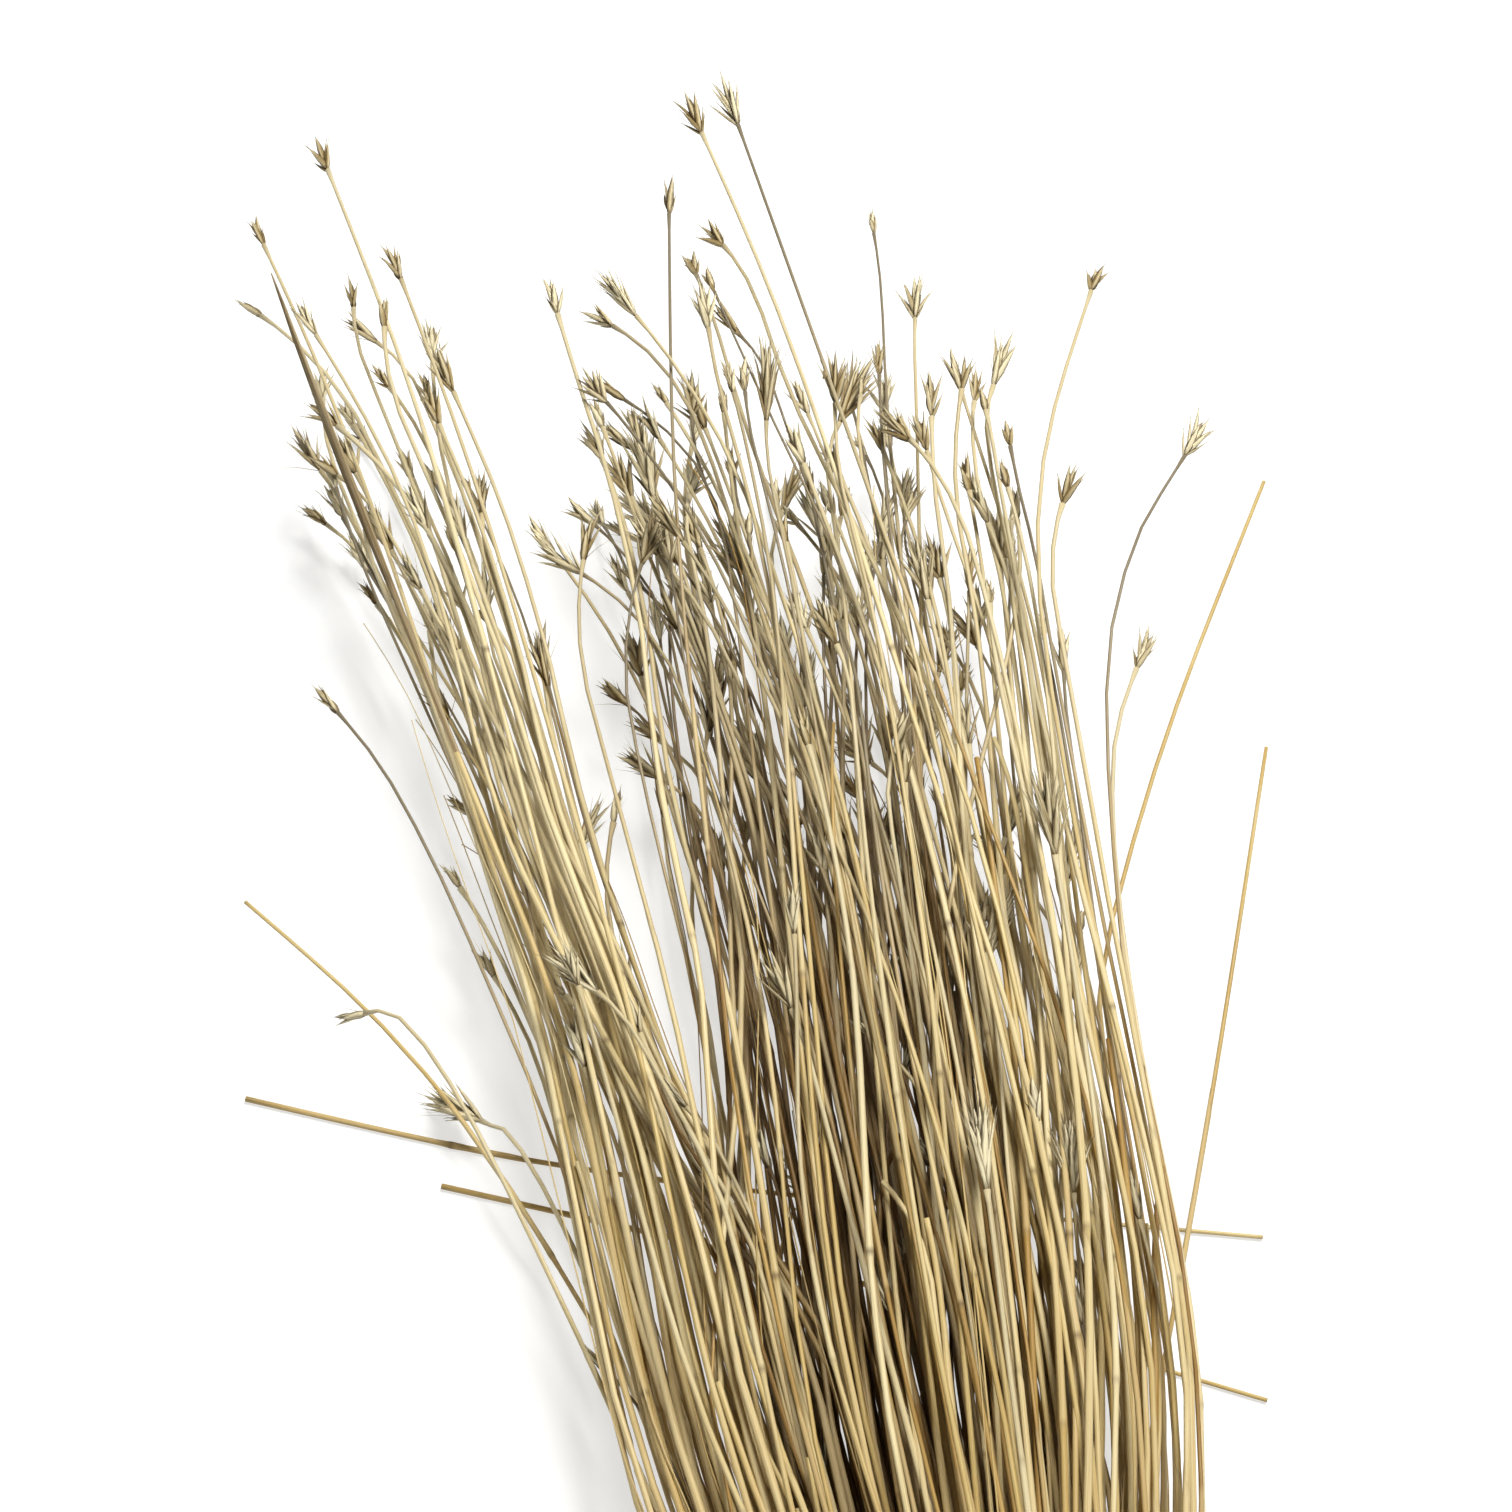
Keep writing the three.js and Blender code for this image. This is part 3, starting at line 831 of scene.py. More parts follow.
def heads_on(rng, paths, kinds, heads):
    """Seed heads of the given kinds on the tips of the paths."""
    along, side, over = frames(paths)
    parts = []
    for number, (_, long, wide, glumes, bristles) in enumerate(HEAD_KINDS):
        own = kinds == number
        if not own.any():
            continue
        lengths = heads.length * long * rng.uniform(0.8, 1.2, own.sum())
        ends = [values[own, -1] for values in (paths, along, side, over)]
        parts.append(head_surface(rng, *ends, lengths, heads.spread * wide, glumes, bristles, heads))
    return joined(parts)


# ---- leaf blades and twine -------------------------------------------------------

BLADE_CORNERS = np.array([[1.0, 1.0], [0.0, 0.0], [-1.0, 1.0], [-1.0, 1.0], [0.0, 0.0], [1.0, 1.0]])
BLADE_FACES_UP = np.array([1, 1, 1, 0, 0, 0])


def blade_surface(rng, path, leaf):
    """A folded dried leaf blade along a path.

    The half width swells from a sheath about as thick as the stem to its full size at two thirds of the
    way, and falls to a point. The section is a shallow V whose depth is the fold times the half width.
    The blade twists slowly along its length.
    """
    way = np.linspace(0, 1, path.shape[1])
    _, side, over = frames(path)
    twist = (0.9 * np.sin(2.2 * way + rng.uniform(0, 6)) + rng.uniform(-0.5, 0.5))[None, :, None]
    turned_side = np.cos(twist) * side + np.sin(twist) * over
    turned_over = np.cos(twist) * over - np.sin(twist) * side
    swell = smoothstep((way - 0.25) / 0.4)
    half_width = leaf.half_width * (0.4 + 0.6 * swell) * (1 - way**4) + 0.1 * MM
    flutter = 1 + 0.12 * np.sin(31 * way) + 0.08 * np.sin(67 * way)
    x = half_width[:, None] * BLADE_CORNERS[:, 0]
    z = half_width[:, None] * leaf.fold * flutter[:, None] * BLADE_CORNERS[:, 1]
    z = z + leaf.thickness * (BLADE_FACES_UP - 0.5)
    section = np.stack([x, z], axis=-1)[None]
    length = distance_along(path[0])
    shape = section.shape[:3]
    grain = np.concatenate([section, np.broadcast_to(length[None, :, None, None], shape + (1,))], axis=-1)
    look = np.broadcast_to(np.array([rng.uniform(), 0.5, 0.0, 0.0]), shape + (4,))
    return loft(path, turned_side, turned_over, section, grain, look)


CORD_CORNERS = 14
GROOVE_DEPTH = 0.22     # of the grooves between the plies, as a share of the cord's radius
KNOT_CORD = 1.05 * MM   # the cord's radius in the knot
FRAYED_FIBRES = 14      # at each end of the twine
KNOT_ENDS = ((1, 0.86, 6.0), (-1, 0.72, -7.0))  # side, angle it reaches round the bundle, splay in mm


def cord_surface(path, side, over, radius, plies, lay):
    """Twisted cord along a path.

    Its section is a circle with one bulge for each ply: radius * (0.78 + 0.22 |cos(plies * angle / 2)|),
    and turns once in every lay of length. look holds how deep in a groove each point is.
    """
    length = distance_along(path)
    turn = even_turns(CORD_CORNERS)
    spun = turn - math.tau * length[:, None] / lay
    bulge = np.abs(np.cos(plies / 2 * spun))
    reach = radius * (1 - GROOVE_DEPTH + GROOVE_DEPTH * bulge)
    section = around(reach, turn)[None]
    onwards = length[:, None] + 0 * spun
    grain = np.stack([reach * np.cos(spun), reach * np.sin(spun), onwards], axis=-1)[None]
    # how deep in a groove each point is, which the twine's finish paints as shade
    look = np.stack([0 * bulge, 0 * bulge, 1 - bulge, 0 * bulge], axis=-1)[None]
    return loft(path[None], side[None], over[None], section, grain, look)


def winding_surface(twine):
    """The twine's turns side by side: a helix round the bundle that moves on one thickness a turn."""
    low, high = (np.array(corner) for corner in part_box("twine_winding"))
    middle = (low + high) / 2
    outer = (high[0] - low[0]) / 2
    radius = (high[1] - low[1]) / 2 / twine.turns
    turn = np.linspace(0, math.tau * twine.turns, 200 * twine.turns)
    outwards = np.stack([np.sin(turn), 0 * turn, np.cos(turn)], axis=-1)
    onwards = low[1] + radius + 2 * radius * (turn / math.tau) * (twine.turns - 1) / twine.turns
    path = (outer - radius) * outwards
    path[:, 0] += middle[0]
    path[:, 1] = onwards
    path[:, 2] += middle[2]
    along = unit(np.gradient(path, axis=0))
    return cord_surface(path, np.cross(along, outwards), outwards, radius, twine.plies, twine.lay)


def knot_surface(rng, twine):
    """A flat knot and its two short ends.

    The knot is a trefoil, x = sin t + 2 sin 2t, y = cos t - 2 cos 2t, z = -sin 3t, fitted to the space of
    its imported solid. Each end leaves it to one side, lies over the winding and splays into fibres.
    """
    low, high = (np.array(corner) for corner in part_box("twine_knot"))
    middle = (low + high) / 2
    cord = KNOT_CORD
    t = np.linspace(0, math.tau, 220)
    loop = np.stack([np.sin(t) + 2 * np.sin(2 * t), np.cos(t) - 2 * np.cos(2 * t), -np.sin(3 * t)], axis=-1)
    loop -= (loop.max(axis=0) + loop.min(axis=0)) / 2
    loop *= ((high - low) / 2 - cord) / np.abs(loop).max(axis=0)
    parts = []
    ends = []
    winding_low, winding_high = (np.array(corner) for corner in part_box("twine_winding"))
    lie = (winding_high[0] - winding_low[0]) / 2 + cord
    axle_z = (winding_high[2] + winding_low[2]) / 2
    for sideways, reach, splay in KNOT_ENDS:
        angle = np.linspace(0.08, reach, 60)
        lift = 1.5 * MM * (1 - smoothstep(angle / 0.4))
        ends.append(np.stack([
            middle[0] + sideways * (lie + lift) * np.sin(angle),
            middle[1] + splay * MM * angle**1.5,
            axle_z + (lie + lift) * np.cos(angle),
        ], axis=-1))
    for path in (loop + middle, *ends):
        _, side, over = frames(path)
        parts.append(cord_surface(path, side, over, cord, twine.plies, twine.lay))
    for path in ends:
        count = FRAYED_FIBRES
        along, side, over = (np.repeat(v[-1:], count, axis=0) for v in frames(path))
        bases = np.repeat(path[-1:], count, axis=0) + 0.5 * cord * rng.normal(0, 0.6, (count, 3))
        parts.append(petals(
            bases, along, side, over, rng.uniform(0, math.tau, count), rng.uniform(0.05, 0.6, count),
            rng.uniform(2.0, 4.5, count) * MM, rng.uniform(-0.2, 0.2, count), BRISTLE_WAY,
            FRAY_WIDTH, BRISTLE_SECTION, rng.uniform(0, 1, count),
        ))
    return joined(parts)


# ---- materials -------------------------------------------------------------------


class Nodes:
    """Short calls for building a node tree."""

    def __init__(self, tree):
        self.tree = tree

    def add(self, kind, **settings):
        """A new node with the given settings."""
        node = self.tree.nodes.new(kind)
        for key, value in settings.items():
            setattr(node, key, value)
        return node

    def link(self, source, target):
        """A link from one socket to another."""
        self.tree.links.new(source, target)

    def put(self, value, socket):
        """A link if the value is a socket, and otherwise the socket's own value."""
        if isinstance(value, bpy.types.NodeSocket):
            self.link(value, socket)
        else:
            socket.default_value = value

    def maths(self, operation, a, b):
        """The result of one sum, with sockets or numbers."""
        node = self.add("ShaderNodeMath", operation=operation)
        self.put(a, node.inputs[0])
        self.put(b, node.inputs[1])
        return node.outputs[0]

    def mix(self, factor, a, b):
        """Colour a where the factor is 0, and b where it is 1."""
        node = self.add("ShaderNodeMix", data_type="RGBA")
        self.put(factor, node.inputs["Factor"])
        self.put(a, node.inputs["A"])
        self.put(b, node.inputs["B"])
        return node.outputs["Result"]

    def layered(self, colour, *layers):
        """The colour under layers, each of which has its cover, from 0 to 1, and its shade."""
        for cover, shade in layers:
            colour = self.mix(cover, colour, rgba(shade))
        return colour

    def stretch(self, value, low, high, to_low=0.0, to_high=1.0):
        """A smooth change from to_low to to_high, while the value goes from low to high."""
        node = self.add("ShaderNodeMapRange", interpolation_type="SMOOTHSTEP")
        self.put(value, node.inputs["Value"])
        for key, number in zip(("From Min", "From Max", "To Min", "To Max"), (low, high, to_low, to_high)):
            node.inputs[key].default_value = number
        return node.outputs["Result"]

    def noise(self, vector, scale, detail):
        """Noise with its own number of lumps a metre along each axis."""
        mapping = self.add("ShaderNodeMapping")
        mapping.inputs["Scale"].default_value = scale
        self.link(vector, mapping.inputs["Vector"])
        node = self.add("ShaderNodeTexNoise")
        node.inputs["Scale"].default_value = 1.0
        node.inputs["Detail"].default_value = detail
        self.link(mapping.outputs["Vector"], node.inputs["Vector"])
        return node.outputs["Fac"]

    def piece_values(self):
        """The piece's own attributes: the grain vector, and look's four numbers."""
        grain = self.add("ShaderNodeAttribute", attribute_name="grain")
        look = self.add("ShaderNodeAttribute", attribute_name="look")
        parts = self.add("ShaderNodeSeparateColor")
        self.link(look.outputs["Color"], parts.inputs["Color"])
        return grain.outputs["Vector"], *parts.outputs[:3], look.outputs["Alpha"]


def rgba(colour):
    """A colour with full alpha."""
    return (*colour, 1.0)


BLACK = (0.0, 0.0, 0.0, 1.0)
FINISH_OUTPUTS = (
    ("Color", "NodeSocketColor"),
    ("Roughness", "NodeSocketFloat"),
    ("Normal", "NodeSocketVector"),
)


def surface_group(name):
    """An empty node group for a surface finish, with its helper and its output node."""
    tree = bpy.data.node_groups.new(name, "ShaderNodeTree")
    for label, kind in FINISH_OUTPUTS:
        tree.interface.new_socket(label, in_out="OUTPUT", socket_type=kind)
    nodes = Nodes(tree)
    return tree, nodes, nodes.add("NodeGroupOutput")


def finished(nodes, output, colour, roughness, height, distance):
    """Links a group's colour, roughness and bumped normal to its outputs."""
    bump = nodes.add("ShaderNodeBump")
    bump.inputs["Strength"].default_value = 1.0
    bump.inputs["Distance"].default_value = distance
    nodes.link(height, bump.inputs["Height"])
    nodes.link(colour, output.inputs["Color"])
    nodes.link(roughness, output.inputs["Roughness"])
    nodes.link(bump.outputs["Normal"], output.inputs["Normal"])


def straw_group(straw):
    """Straw: each stem's own tint, fine fibres, soft blotches, dark joint rings and paler sheaths, with
    painted shade deep in the mass and, in part, towards the cut ends.
    """
    tree, nodes, output = surface_group("Straw surface")
    grain, tint, share, sheath, ring = nodes.piece_values()
    fibre = nodes.noise(grain, (5200.0, 5200.0, 45.0), 4.0)
    streak = nodes.noise(grain, (1500.0, 1500.0, 14.0), 2.0)
    blotch = nodes.noise(grain, (90.0, 90.0, 28.0), 3.0)
    shift = nodes.maths("ADD", nodes.maths("MULTIPLY", blotch, 0.9), -0.45)
    tone = nodes.maths("ADD", tint, shift)
    tone = nodes.maths("ADD", tone, nodes.maths("MULTIPLY", nodes.maths("SUBTRACT", streak, 0.5), 0.7))
    ramp = nodes.add("ShaderNodeValToRGB")
    stops = ramp.color_ramp.elements
    stops[0].color = rgba(straw.brown)
    stops[1].color = rgba(straw.pale)
    for place, colour in ((0.2, straw.tan), (0.55, straw.golden)):
        stops.new(place).color = rgba(colour)
    nodes.link(tone, ramp.inputs["Fac"])
    old = nodes.stretch(tint, 0.3, 0.6, 1.0, 0.25)
    inside = nodes.add("ShaderNodeAttribute", attribute_name="inside").outputs["Fac"]
    colour = nodes.layered(
        ramp.outputs["Color"],
        (nodes.maths("MULTIPLY", sheath, 0.45), straw.pale),
        (nodes.stretch(fibre, 0.34, 0.56, 0.45, 0.0), straw.tan),
        (nodes.stretch(share, 0.6, 0.95, 0.0, 0.55), straw.cream),
        (nodes.maths("MULTIPLY", nodes.stretch(share, 0.72, 0.97, 0.0, 0.95), old), straw.neck),
        # partly the tan of the lower stems and partly painted shade: darker towards the cut ends
        (nodes.stretch(share, 0.25, 0.75, 0.6, 0.0), straw.tan),
        (nodes.maths("MULTIPLY", ring, 0.8), straw.joint),
        # painted shade: stems deep in the mass are darkened towards dark brown
        (nodes.maths("MULTIPLY", inside, 0.85), straw.inside),
    )
    roughness = nodes.stretch(fibre, 0.3, 0.7, 0.34, 0.52)
    roughness = nodes.maths("ADD", roughness, nodes.maths("MULTIPLY", sheath, 0.12))
    finished(nodes, output, colour, roughness, fibre, 0.00012)
    return tree


def husk_group(heads):
    """Husk: olive glumes with paler points and fine veins, painted shade at their bases and in their
    hollows, and a painted highlight on their keels.
    """
    tree, nodes, output = surface_group("Husk surface")
    grain, tint, way, keel, _ = nodes.piece_values()
    vein = nodes.noise(grain, (4200.0, 4200.0, 160.0), 3.0)
    blotch = nodes.noise(grain, (260.0, 260.0, 180.0), 2.0)
    ripe = nodes.stretch(nodes.maths("ADD", tint, nodes.maths("MULTIPLY", blotch, 0.3)), 0.35, 1.2)
    colour = nodes.mix(ripe, rgba(heads.husk), rgba(heads.husk_pale_and_highlight))
    colour = nodes.layered(
        colour,
        (nodes.stretch(way, 0.4, 1.0, 0.0, 0.45), heads.husk_pale_and_highlight),
        # painted highlight along each glume's keel
        (nodes.stretch(keel, 0.5, 0.95, 0.0, 0.5), heads.husk_pale_and_highlight),
        # painted shade in the hollows beside the keels
        (nodes.stretch(keel, 0.0, 0.5, 0.7, 0.0), heads.husk_dark_and_shade),
        # painted shade at the bases, where the glumes crowd together
        (nodes.stretch(way, 0.0, 0.22, 0.5, 0.0), heads.husk_dark_and_shade),
        (nodes.stretch(vein, 0.36, 0.54, 0.4, 0.0), heads.husk_dark_and_shade),
    )
    roughness = nodes.stretch(vein, 0.3, 0.7, 0.5, 0.75)
    finished(nodes, output, colour, roughness, vein, 0.0001)
    return tree


def leaf_group(leaf):
    """Dried leaf: brown with paler parallel veins and darker stains."""
    tree, nodes, output = surface_group("Leaf surface")
    grain = nodes.piece_values()[0]
    vein = nodes.noise(grain, (3600.0, 40.0, 22.0), 3.0)
    stain = nodes.noise(grain, (240.0, 240.0, 60.0), 4.0)
    colour = nodes.mix(nodes.stretch(vein, 0.4, 0.62), rgba(leaf.brown), rgba(leaf.vein))
    dark = nodes.mix(0.65, rgba(leaf.brown), BLACK)
    colour = nodes.mix(nodes.stretch(stain, 0.52, 0.72, 0.0, 0.7), colour, dark)
    roughness = nodes.stretch(stain, 0.3, 0.7, 0.5, 0.8)
    finished(nodes, output, colour, roughness, vein, 0.0002)
    return tree


def twine_group(twine):
    """Jute twine: fibres that follow the plies, with painted shade in the grooves between the plies."""
    tree, nodes, output = surface_group("Twine surface")
    grain, _, _, groove, _ = nodes.piece_values()
    fibre = nodes.noise(grain, (2600.0, 2600.0, 200.0), 5.0)
    fleck = nodes.noise(grain, (500.0, 500.0, 300.0), 3.0)
    bleached = nodes.stretch(fleck, 0.35, 0.65, 0.0, 0.5)
    light = nodes.mix(bleached, rgba(twine.jute), rgba(twine.jute_pale))
    colour = nodes.layered(
        light,
        (nodes.stretch(fibre, 0.36, 0.6, 0.7, 0.0), twine.jute_dark_and_shade),
        # painted shade in the grooves between the plies
        (nodes.maths("MULTIPLY", groove, 0.8), twine.jute_dark_and_shade),
    )
    roughness = nodes.stretch(fibre, 0.3, 0.7, 0.8, 0.95)
    finished(nodes, output, colour, roughness, fibre, 0.0004)
    return tree


def finish_material(name, group, specular):
    """A Principled material that takes colour, roughness and normal from a node group."""
    found = bpy.data.materials.get(name)
    if found:
        return found
    material = bpy.data.materials.new(name)
    material.use_nodes = True
    nodes = Nodes(material.node_tree)
    shader = material.node_tree.nodes["Principled BSDF"]
    shader.inputs["Specular IOR Level"].default_value = specular
    source = nodes.add("ShaderNodeGroup", node_tree=group())
    nodes.link(source.outputs["Color"], shader.inputs["Base Color"])
    nodes.link(source.outputs["Roughness"], shader.inputs["Roughness"])
    nodes.link(source.outputs["Normal"], shader.inputs["Normal"])
    return material


def straw_material(scene):
    """The finish of every stem and straw."""
    return finish_material("Dried straw", lambda: straw_group(scene.foxtail_straw), 0.28)


def husk_material(scene):
    """The finish of the seed heads."""
    return finish_material("Seed husk", lambda: husk_group(scene.foxtail_heads), 0.3)


def leaf_material(scene):
    """The finish of the leaf blades."""
    return finish_material("Dried leaf", lambda: leaf_group(scene.foxtail_leaf), 0.3)


def twine_material(scene):
    """The finish of the tie."""
    return finish_material("Jute twine", lambda: twine_group(scene.foxtail_twine), 0.2)


# ---- operators -------------------------------------------------------------------

FEWER_ON_LEFT = 2        # headed stems that a strand has less in the thinner left plume
HEADED_LOOSENESS = 3.0   # how many rooms of a strand the tips of its stems spread over
HEADED_LIFT = 3.0        # how many such rooms the low heads are lifted
HEADLESS_STEMS = (
    # setting, metres behind the strand's tip, looseness, root's share of the root radius, neck's of the root
    ("cut_per_strand", (0.10, 0.34), 1.8, (0.5, 1.0), 0.7),
    ("wisps_per_strand", (0.02, 0.16), 3.4, (0.2, 0.3), 0.5),
)
FLOOR_HALF_SIDE = 12.0
KEY_PLACE, KEY_WIDTH = (0.34, 0.30, 1.10), 0.40  # from the point that the camera looks at
FILL_PLACE, FILL_WIDTH = (-0.8, -0.5, 0.9), 1.0
FLOOR_LIGHT = (1.0, 1.0, 0.99, 1.0)
WHITE = (1.0, 1.0, 1.0, 1.0)
SENSOR_WIDTH = 36.0      # millimetres, as the camera counts them


def tie_middle():
    """The middle of the twine winding."""
    low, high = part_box("twine_winding")
    return (np.array(low) + np.array(high)) / 2


class FOXTAIL_OT_strands(Operator):
    """Draws every strand of the mass as its own handful of stems with their seed heads"""

    bl_idname = "foxtail.strands"
    bl_label = "Stems of the mass"

    def execute(self, context):
        straw = context.scene.foxtail_straw
        mass = Mass(tie_middle()[1])
        for number, (name, line) in enumerate(mass.lines.items()):
            rng = np.random.default_rng(number)
            on_left = bool(mass.is_left[name])
            tips = head_reach(rng, line, straw.stems_per_strand - FEWER_ON_LEFT * on_left, on_left)
            plan, paths = strand_stems(rng, mass, name, tips, HEADED_LOOSENESS, HEADED_LIFT)
            tints = mixed_tints(rng, plan.stems)
            roots = straw.root_radius * (0.55 + 0.45 * tints) * rng.uniform(0.8, 1.25, plan.stems)
            necks = straw.neck_radius * (0.75 + 0.5 * tints) * rng.uniform(0.9, 1.2, plan.stems)
            parts = [stem_surface(rng, plan, paths, roots, necks, tints, straw, False)]
            heads = heads_on(rng, paths, mixed_kinds(rng, plan.stems), context.scene.foxtail_heads)

            for setting, behind, looseness, thickness, narrowing in HEADLESS_STEMS:
                tips = line[-1, 1] - rng.uniform(*behind, getattr(straw, setting))
                plan, paths = strand_stems(rng, mass, name, tips, looseness)
                tints = mixed_tints(rng, plan.stems)
                roots = straw.root_radius * rng.uniform(*thickness, plan.stems)
                parts.append(stem_surface(rng, plan, paths, roots, narrowing * roots, tints, straw, True))

            stems = joined(parts)
            # the stems' depth in the mass, for the painted shade
            make_piece(f"{name}_stems", stems, straw_material(context.scene), "straw", name,
                       inside=mass.inside(stems.points))
            make_piece(f"{name}_heads", heads, husk_material(context.scene), "seed_head")
        return {"FINISHED"}


class FOXTAIL_OT_single_stems(Operator):
    """Draws the stems that stand clear of the mass, each with its seed head"""

    bl_idname = "foxtail.single_stems"
    bl_label = "Single stems"

    def execute(self, context):
        straw = context.scene.foxtail_straw
        heads = context.scene.foxtail_heads
        for number, name in enumerate(SINGLE_STEMS):
            rng = np.random.default_rng(100 + number)
            line = centre_line(name)[:-2]
            plan, paths = single_stem(rng, *rounded_line(line, tie_middle()[1]))
            tints = mixed_tints(rng, 1)
            roots = straw.root_radius * (0.6 + 0.35 * tints)
            necks = straw.neck_radius * (0.9 + 0.3 * tints)
            stem = stem_surface(rng, plan, paths, roots, necks, tints, straw, False)
            make_piece(f"{name}_straw", stem, straw_material(context.scene), "straw", name)
            head = heads_on(rng, paths, np.array([SINGLE_HEADS.get(name, MEDIUM_HEAD)]), heads)
            make_piece(f"{name}_head", head, husk_material(context.scene), "seed_head")
        return {"FINISHED"}


class FOXTAIL_OT_loose_straws(Operator):
    """Draws the headless straws that lean out or lie crosswise"""

    bl_idname = "foxtail.loose_straws"
    bl_label = "Loose straws"

    def execute(self, context):
        straw = context.scene.foxtail_straw
        for number, name in enumerate(LEANING_STRAWS + CROSS_STRAWS):
            rng = np.random.default_rng(200 + number)
            plan, paths = single_stem(rng, *rounded_line(centre_line(name), tie_middle()[1]))
            tints = rng.uniform(0.45, 0.85, 1)
            roots = np.array([0.7 * straw.root_radius])
            necks = np.array([1.2 * straw.neck_radius])
            stem = stem_surface(rng, plan, paths, roots, necks, tints, straw, True)
            make_piece(f"{name}_straw", stem, straw_material(context.scene), "straw", name)
        return {"FINISHED"}


class FOXTAIL_OT_leaf_blades(Operator):
    """Draws the stems that still carry a dried leaf blade"""

    bl_idname = "foxtail.leaf_blades"
    bl_label = "Leaf blades"

    def execute(self, context):
        straw = context.scene.foxtail_straw
        leaf = context.scene.foxtail_leaf
        for number, name in enumerate(LEAF_BLADES):
            rng = np.random.default_rng(300 + number)
            rings = rod_rings(name)
            line = rings.mean(axis=1)
            reach = np.linalg.norm(rings - line[:, None], axis=2).max(axis=1)
            first_flat = int(np.argmax(reach > 1.2 * reach[0]))
            share = distance_along(line)[first_flat] / distance_along(line)[-1]
            distances, points = rounded_line(line, tie_middle()[1])
            start = np.searchsorted(distances, share * distances[-1])
            plan, path = single_stem(rng, distances[: start + 3], points[: start + 3])
            tints = rng.uniform(0.3, 0.7, 1)
            roots = np.array([0.9 * straw.root_radius])
            stem = stem_surface(rng, plan, path, roots, 0.8 * roots, tints, straw, True)
            blade = blade_surface(rng, points[start - 2 :][None], leaf)
            make_piece(f"{name}_straw", stem, straw_material(context.scene), "straw", name)
            make_piece(f"{name}_leaf", blade, leaf_material(context.scene), "dry_leaf")
        return {"FINISHED"}


class FOXTAIL_OT_twine(Operator):
    """Winds the twine and ties its knot"""

    bl_idname = "foxtail.twine"
    bl_label = "Twine"

    def execute(self, context):
        twine = context.scene.foxtail_twine
        rng = np.random.default_rng(400)
        material = twine_material(context.scene)
        make_piece("twine_turns", winding_surface(twine), material, "twine", "twine_winding")
        make_piece("twine_bow", knot_surface(rng, twine), material, "twine", "twine_knot")
        return {"FINISHED"}


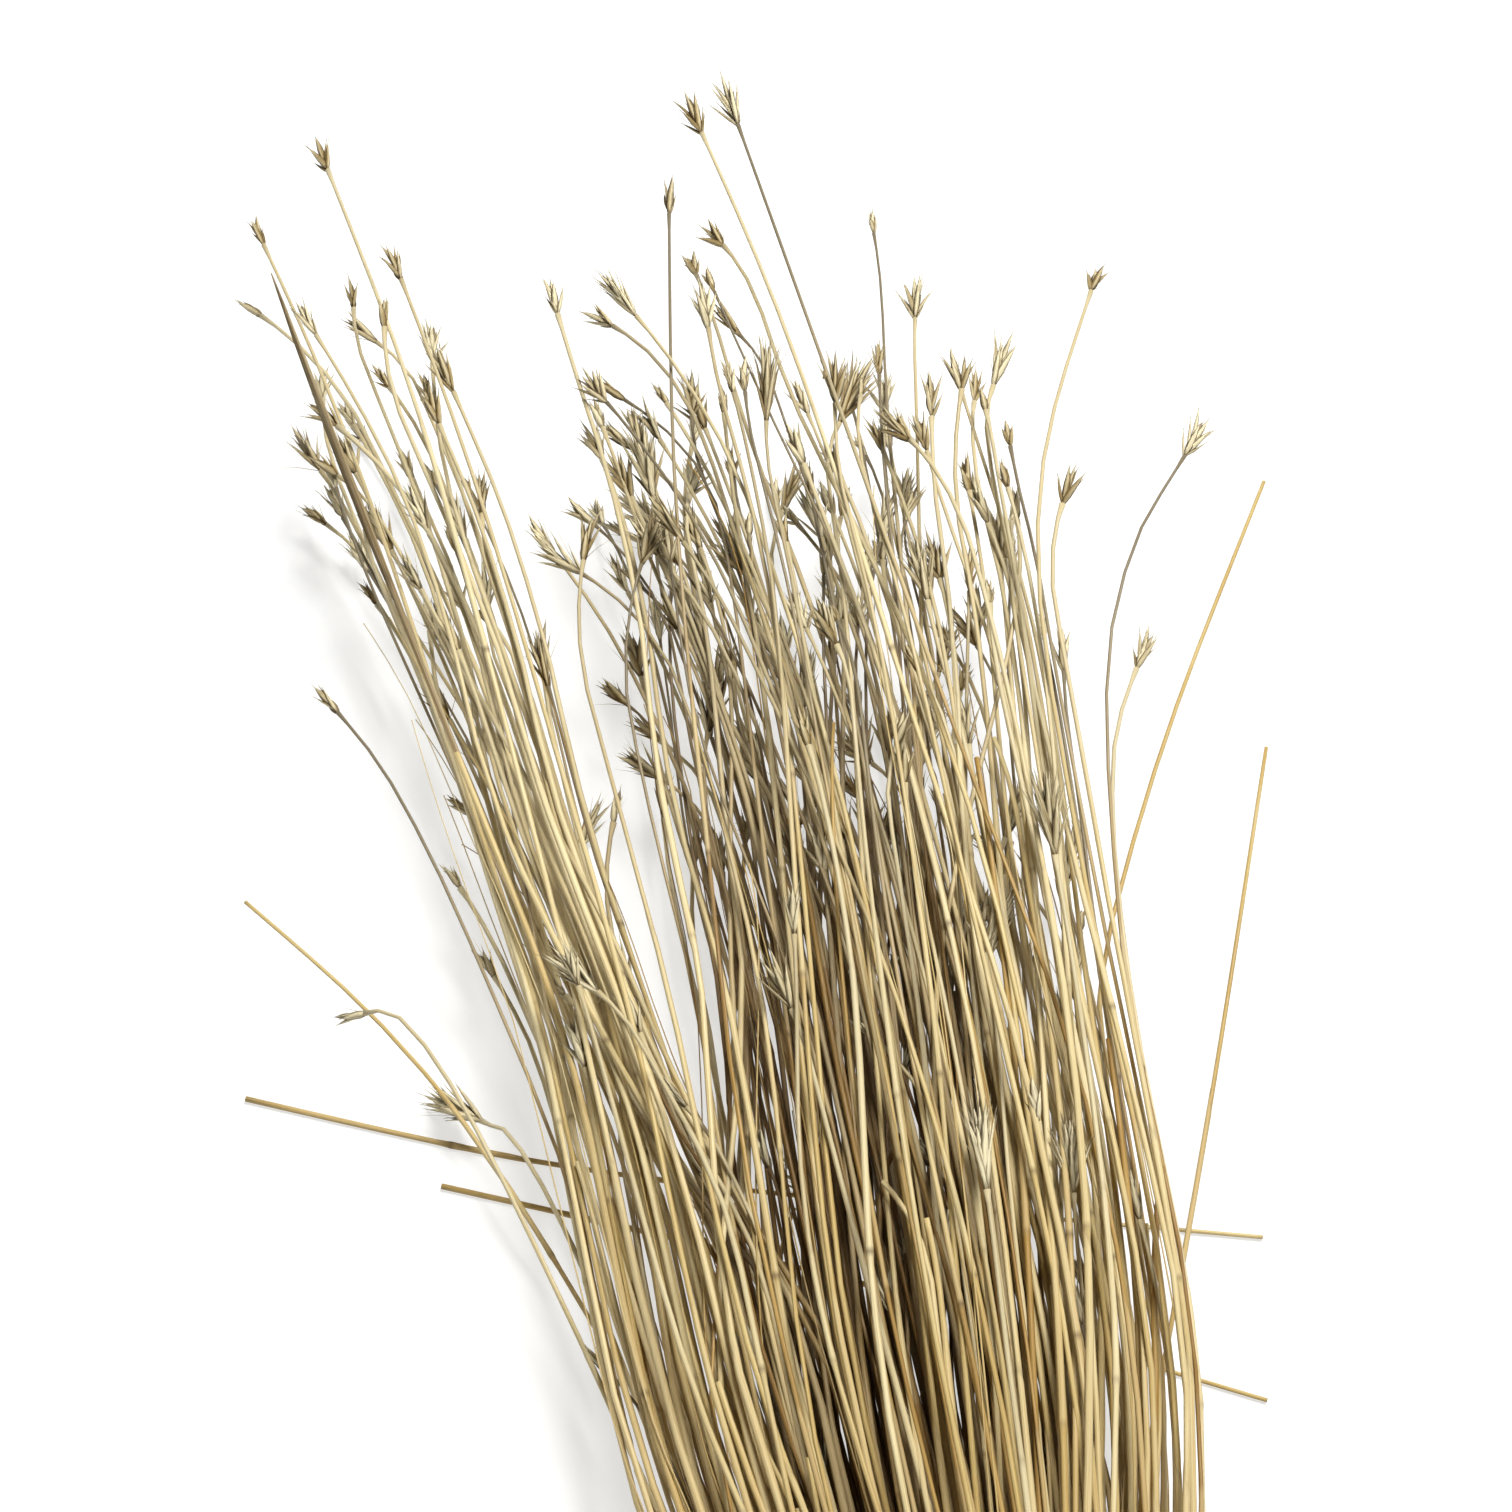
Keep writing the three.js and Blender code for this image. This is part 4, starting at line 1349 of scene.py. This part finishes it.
class FOXTAIL_OT_stage(Operator):
    """Sets up the floor, the lights and the camera"""

    bl_idname = "foxtail.stage"
    bl_label = "Stage"

    def execute(self, context):
        scene = context.scene
        stage = scene.foxtail_stage
        mesh = bpy.data.meshes.new("floor")
        signs = ((-1, -1), (1, -1), (1, 1), (-1, 1))
        corners = [(x * FLOOR_HALF_SIDE, y * FLOOR_HALF_SIDE, 0) for x, y in signs]
        mesh.from_pydata(corners, [], [(0, 1, 2, 3)])
        floor = bpy.data.objects.new("floor", mesh)
        scene.collection.objects.link(floor)
        paint = bpy.data.materials.new("Floor paint")
        paint.use_nodes = True
        shader = paint.node_tree.nodes["Principled BSDF"]
        shader.inputs["Base Color"].default_value = rgba(stage.floor_colour)
        shader.inputs["Roughness"].default_value = 0.9
        shader.inputs["Specular IOR Level"].default_value = 0.0
        shader.inputs["Emission Color"].default_value = FLOOR_LIGHT
        shader.inputs["Emission Strength"].default_value = stage.floor_glow
        mesh.materials.append(paint)

        world = bpy.data.worlds.new("Studio")
        world.use_nodes = True
        background = world.node_tree.nodes["Background"]
        background.inputs["Color"].default_value = WHITE
        nodes = Nodes(world.node_tree)
        height = nodes.add("ShaderNodeSeparateXYZ")
        nodes.link(nodes.add("ShaderNodeTexCoord").outputs["Generated"], height.inputs["Vector"])
        glow = nodes.stretch(height.outputs["Z"], 0.02, 0.3, stage.horizon, stage.surround)
        nodes.link(glow, background.inputs["Strength"])
        scene.world = world

        target = Vector(stage.camera_target)
        for name, place, power, width in (
            ("Key light", KEY_PLACE, stage.key_power, KEY_WIDTH),
            ("Fill light", FILL_PLACE, stage.fill_share * stage.key_power, FILL_WIDTH),
        ):
            light = bpy.data.lights.new(name, "AREA")
            light.energy = power
            light.size = width
            lamp = bpy.data.objects.new(name, light)
            scene.collection.objects.link(lamp)
            lamp.location = target + Vector(place)
            lamp.rotation_euler = (-Vector(place)).to_track_quat("-Z", "Y").to_euler()

        camera = bpy.data.objects.new("Camera", bpy.data.cameras.new("Camera"))
        scene.collection.objects.link(camera)
        scene.camera = camera
        camera.data.sensor_width = SENSOR_WIDTH
        camera.data.lens = SENSOR_WIDTH / 2 / math.tan(stage.view_angle / 2)
        camera.data.clip_start = 0.01
        camera.data.clip_end = 50.0
        flat = math.cos(stage.camera_elevation)
        ahead = Vector((
            flat * math.sin(stage.camera_turn),
            flat * math.cos(stage.camera_turn),
            -math.sin(stage.camera_elevation),
        ))
        camera.location = target - stage.camera_distance * ahead
        camera.rotation_euler = ahead.to_track_quat("-Z", "Y").to_euler()
        scene.view_settings.view_transform = "Standard"
        return {"FINISHED"}


class FOXTAIL_PT_panel(Panel):
    """Lists the steps that build the bundle"""

    bl_label = "Foxtail grass bundle"
    bl_idname = "FOXTAIL_PT_panel"
    bl_space_type = "VIEW_3D"
    bl_region_type = "UI"
    bl_category = "Foxtail"

    def draw(self, context):
        for operator in OPERATORS:
            self.layout.operator(operator.bl_idname)


OPERATORS = (
    FOXTAIL_OT_stage,
    FOXTAIL_OT_strands,
    FOXTAIL_OT_single_stems,
    FOXTAIL_OT_loose_straws,
    FOXTAIL_OT_leaf_blades,
    FOXTAIL_OT_twine,
)
SETTINGS = (
    ("foxtail_straw", StrawSettings),
    ("foxtail_heads", HeadSettings),
    ("foxtail_leaf", LeafSettings),
    ("foxtail_twine", TwineSettings),
    ("foxtail_stage", StageSettings),
)


def register():
    """Adds the settings, the operators and the panel."""
    for name, settings in SETTINGS:
        bpy.utils.register_class(settings)
        setattr(bpy.types.Scene, name, PointerProperty(type=settings))
    for operator in OPERATORS:
        bpy.utils.register_class(operator)
    bpy.utils.register_class(FOXTAIL_PT_panel)


def unregister():
    """Takes them away again."""
    bpy.utils.unregister_class(FOXTAIL_PT_panel)
    for operator in reversed(OPERATORS):
        bpy.utils.unregister_class(operator)
    for name, settings in reversed(SETTINGS):
        delattr(bpy.types.Scene, name)
        bpy.utils.unregister_class(settings)


def main():
    """Builds the stage and the bundle."""
    register()
    bpy.ops.foxtail.stage()
    bpy.ops.foxtail.strands()
    bpy.ops.foxtail.single_stems()
    bpy.ops.foxtail.loose_straws()
    bpy.ops.foxtail.leaf_blades()
    bpy.ops.foxtail.twine()


if __name__ == "__main__":
    main()
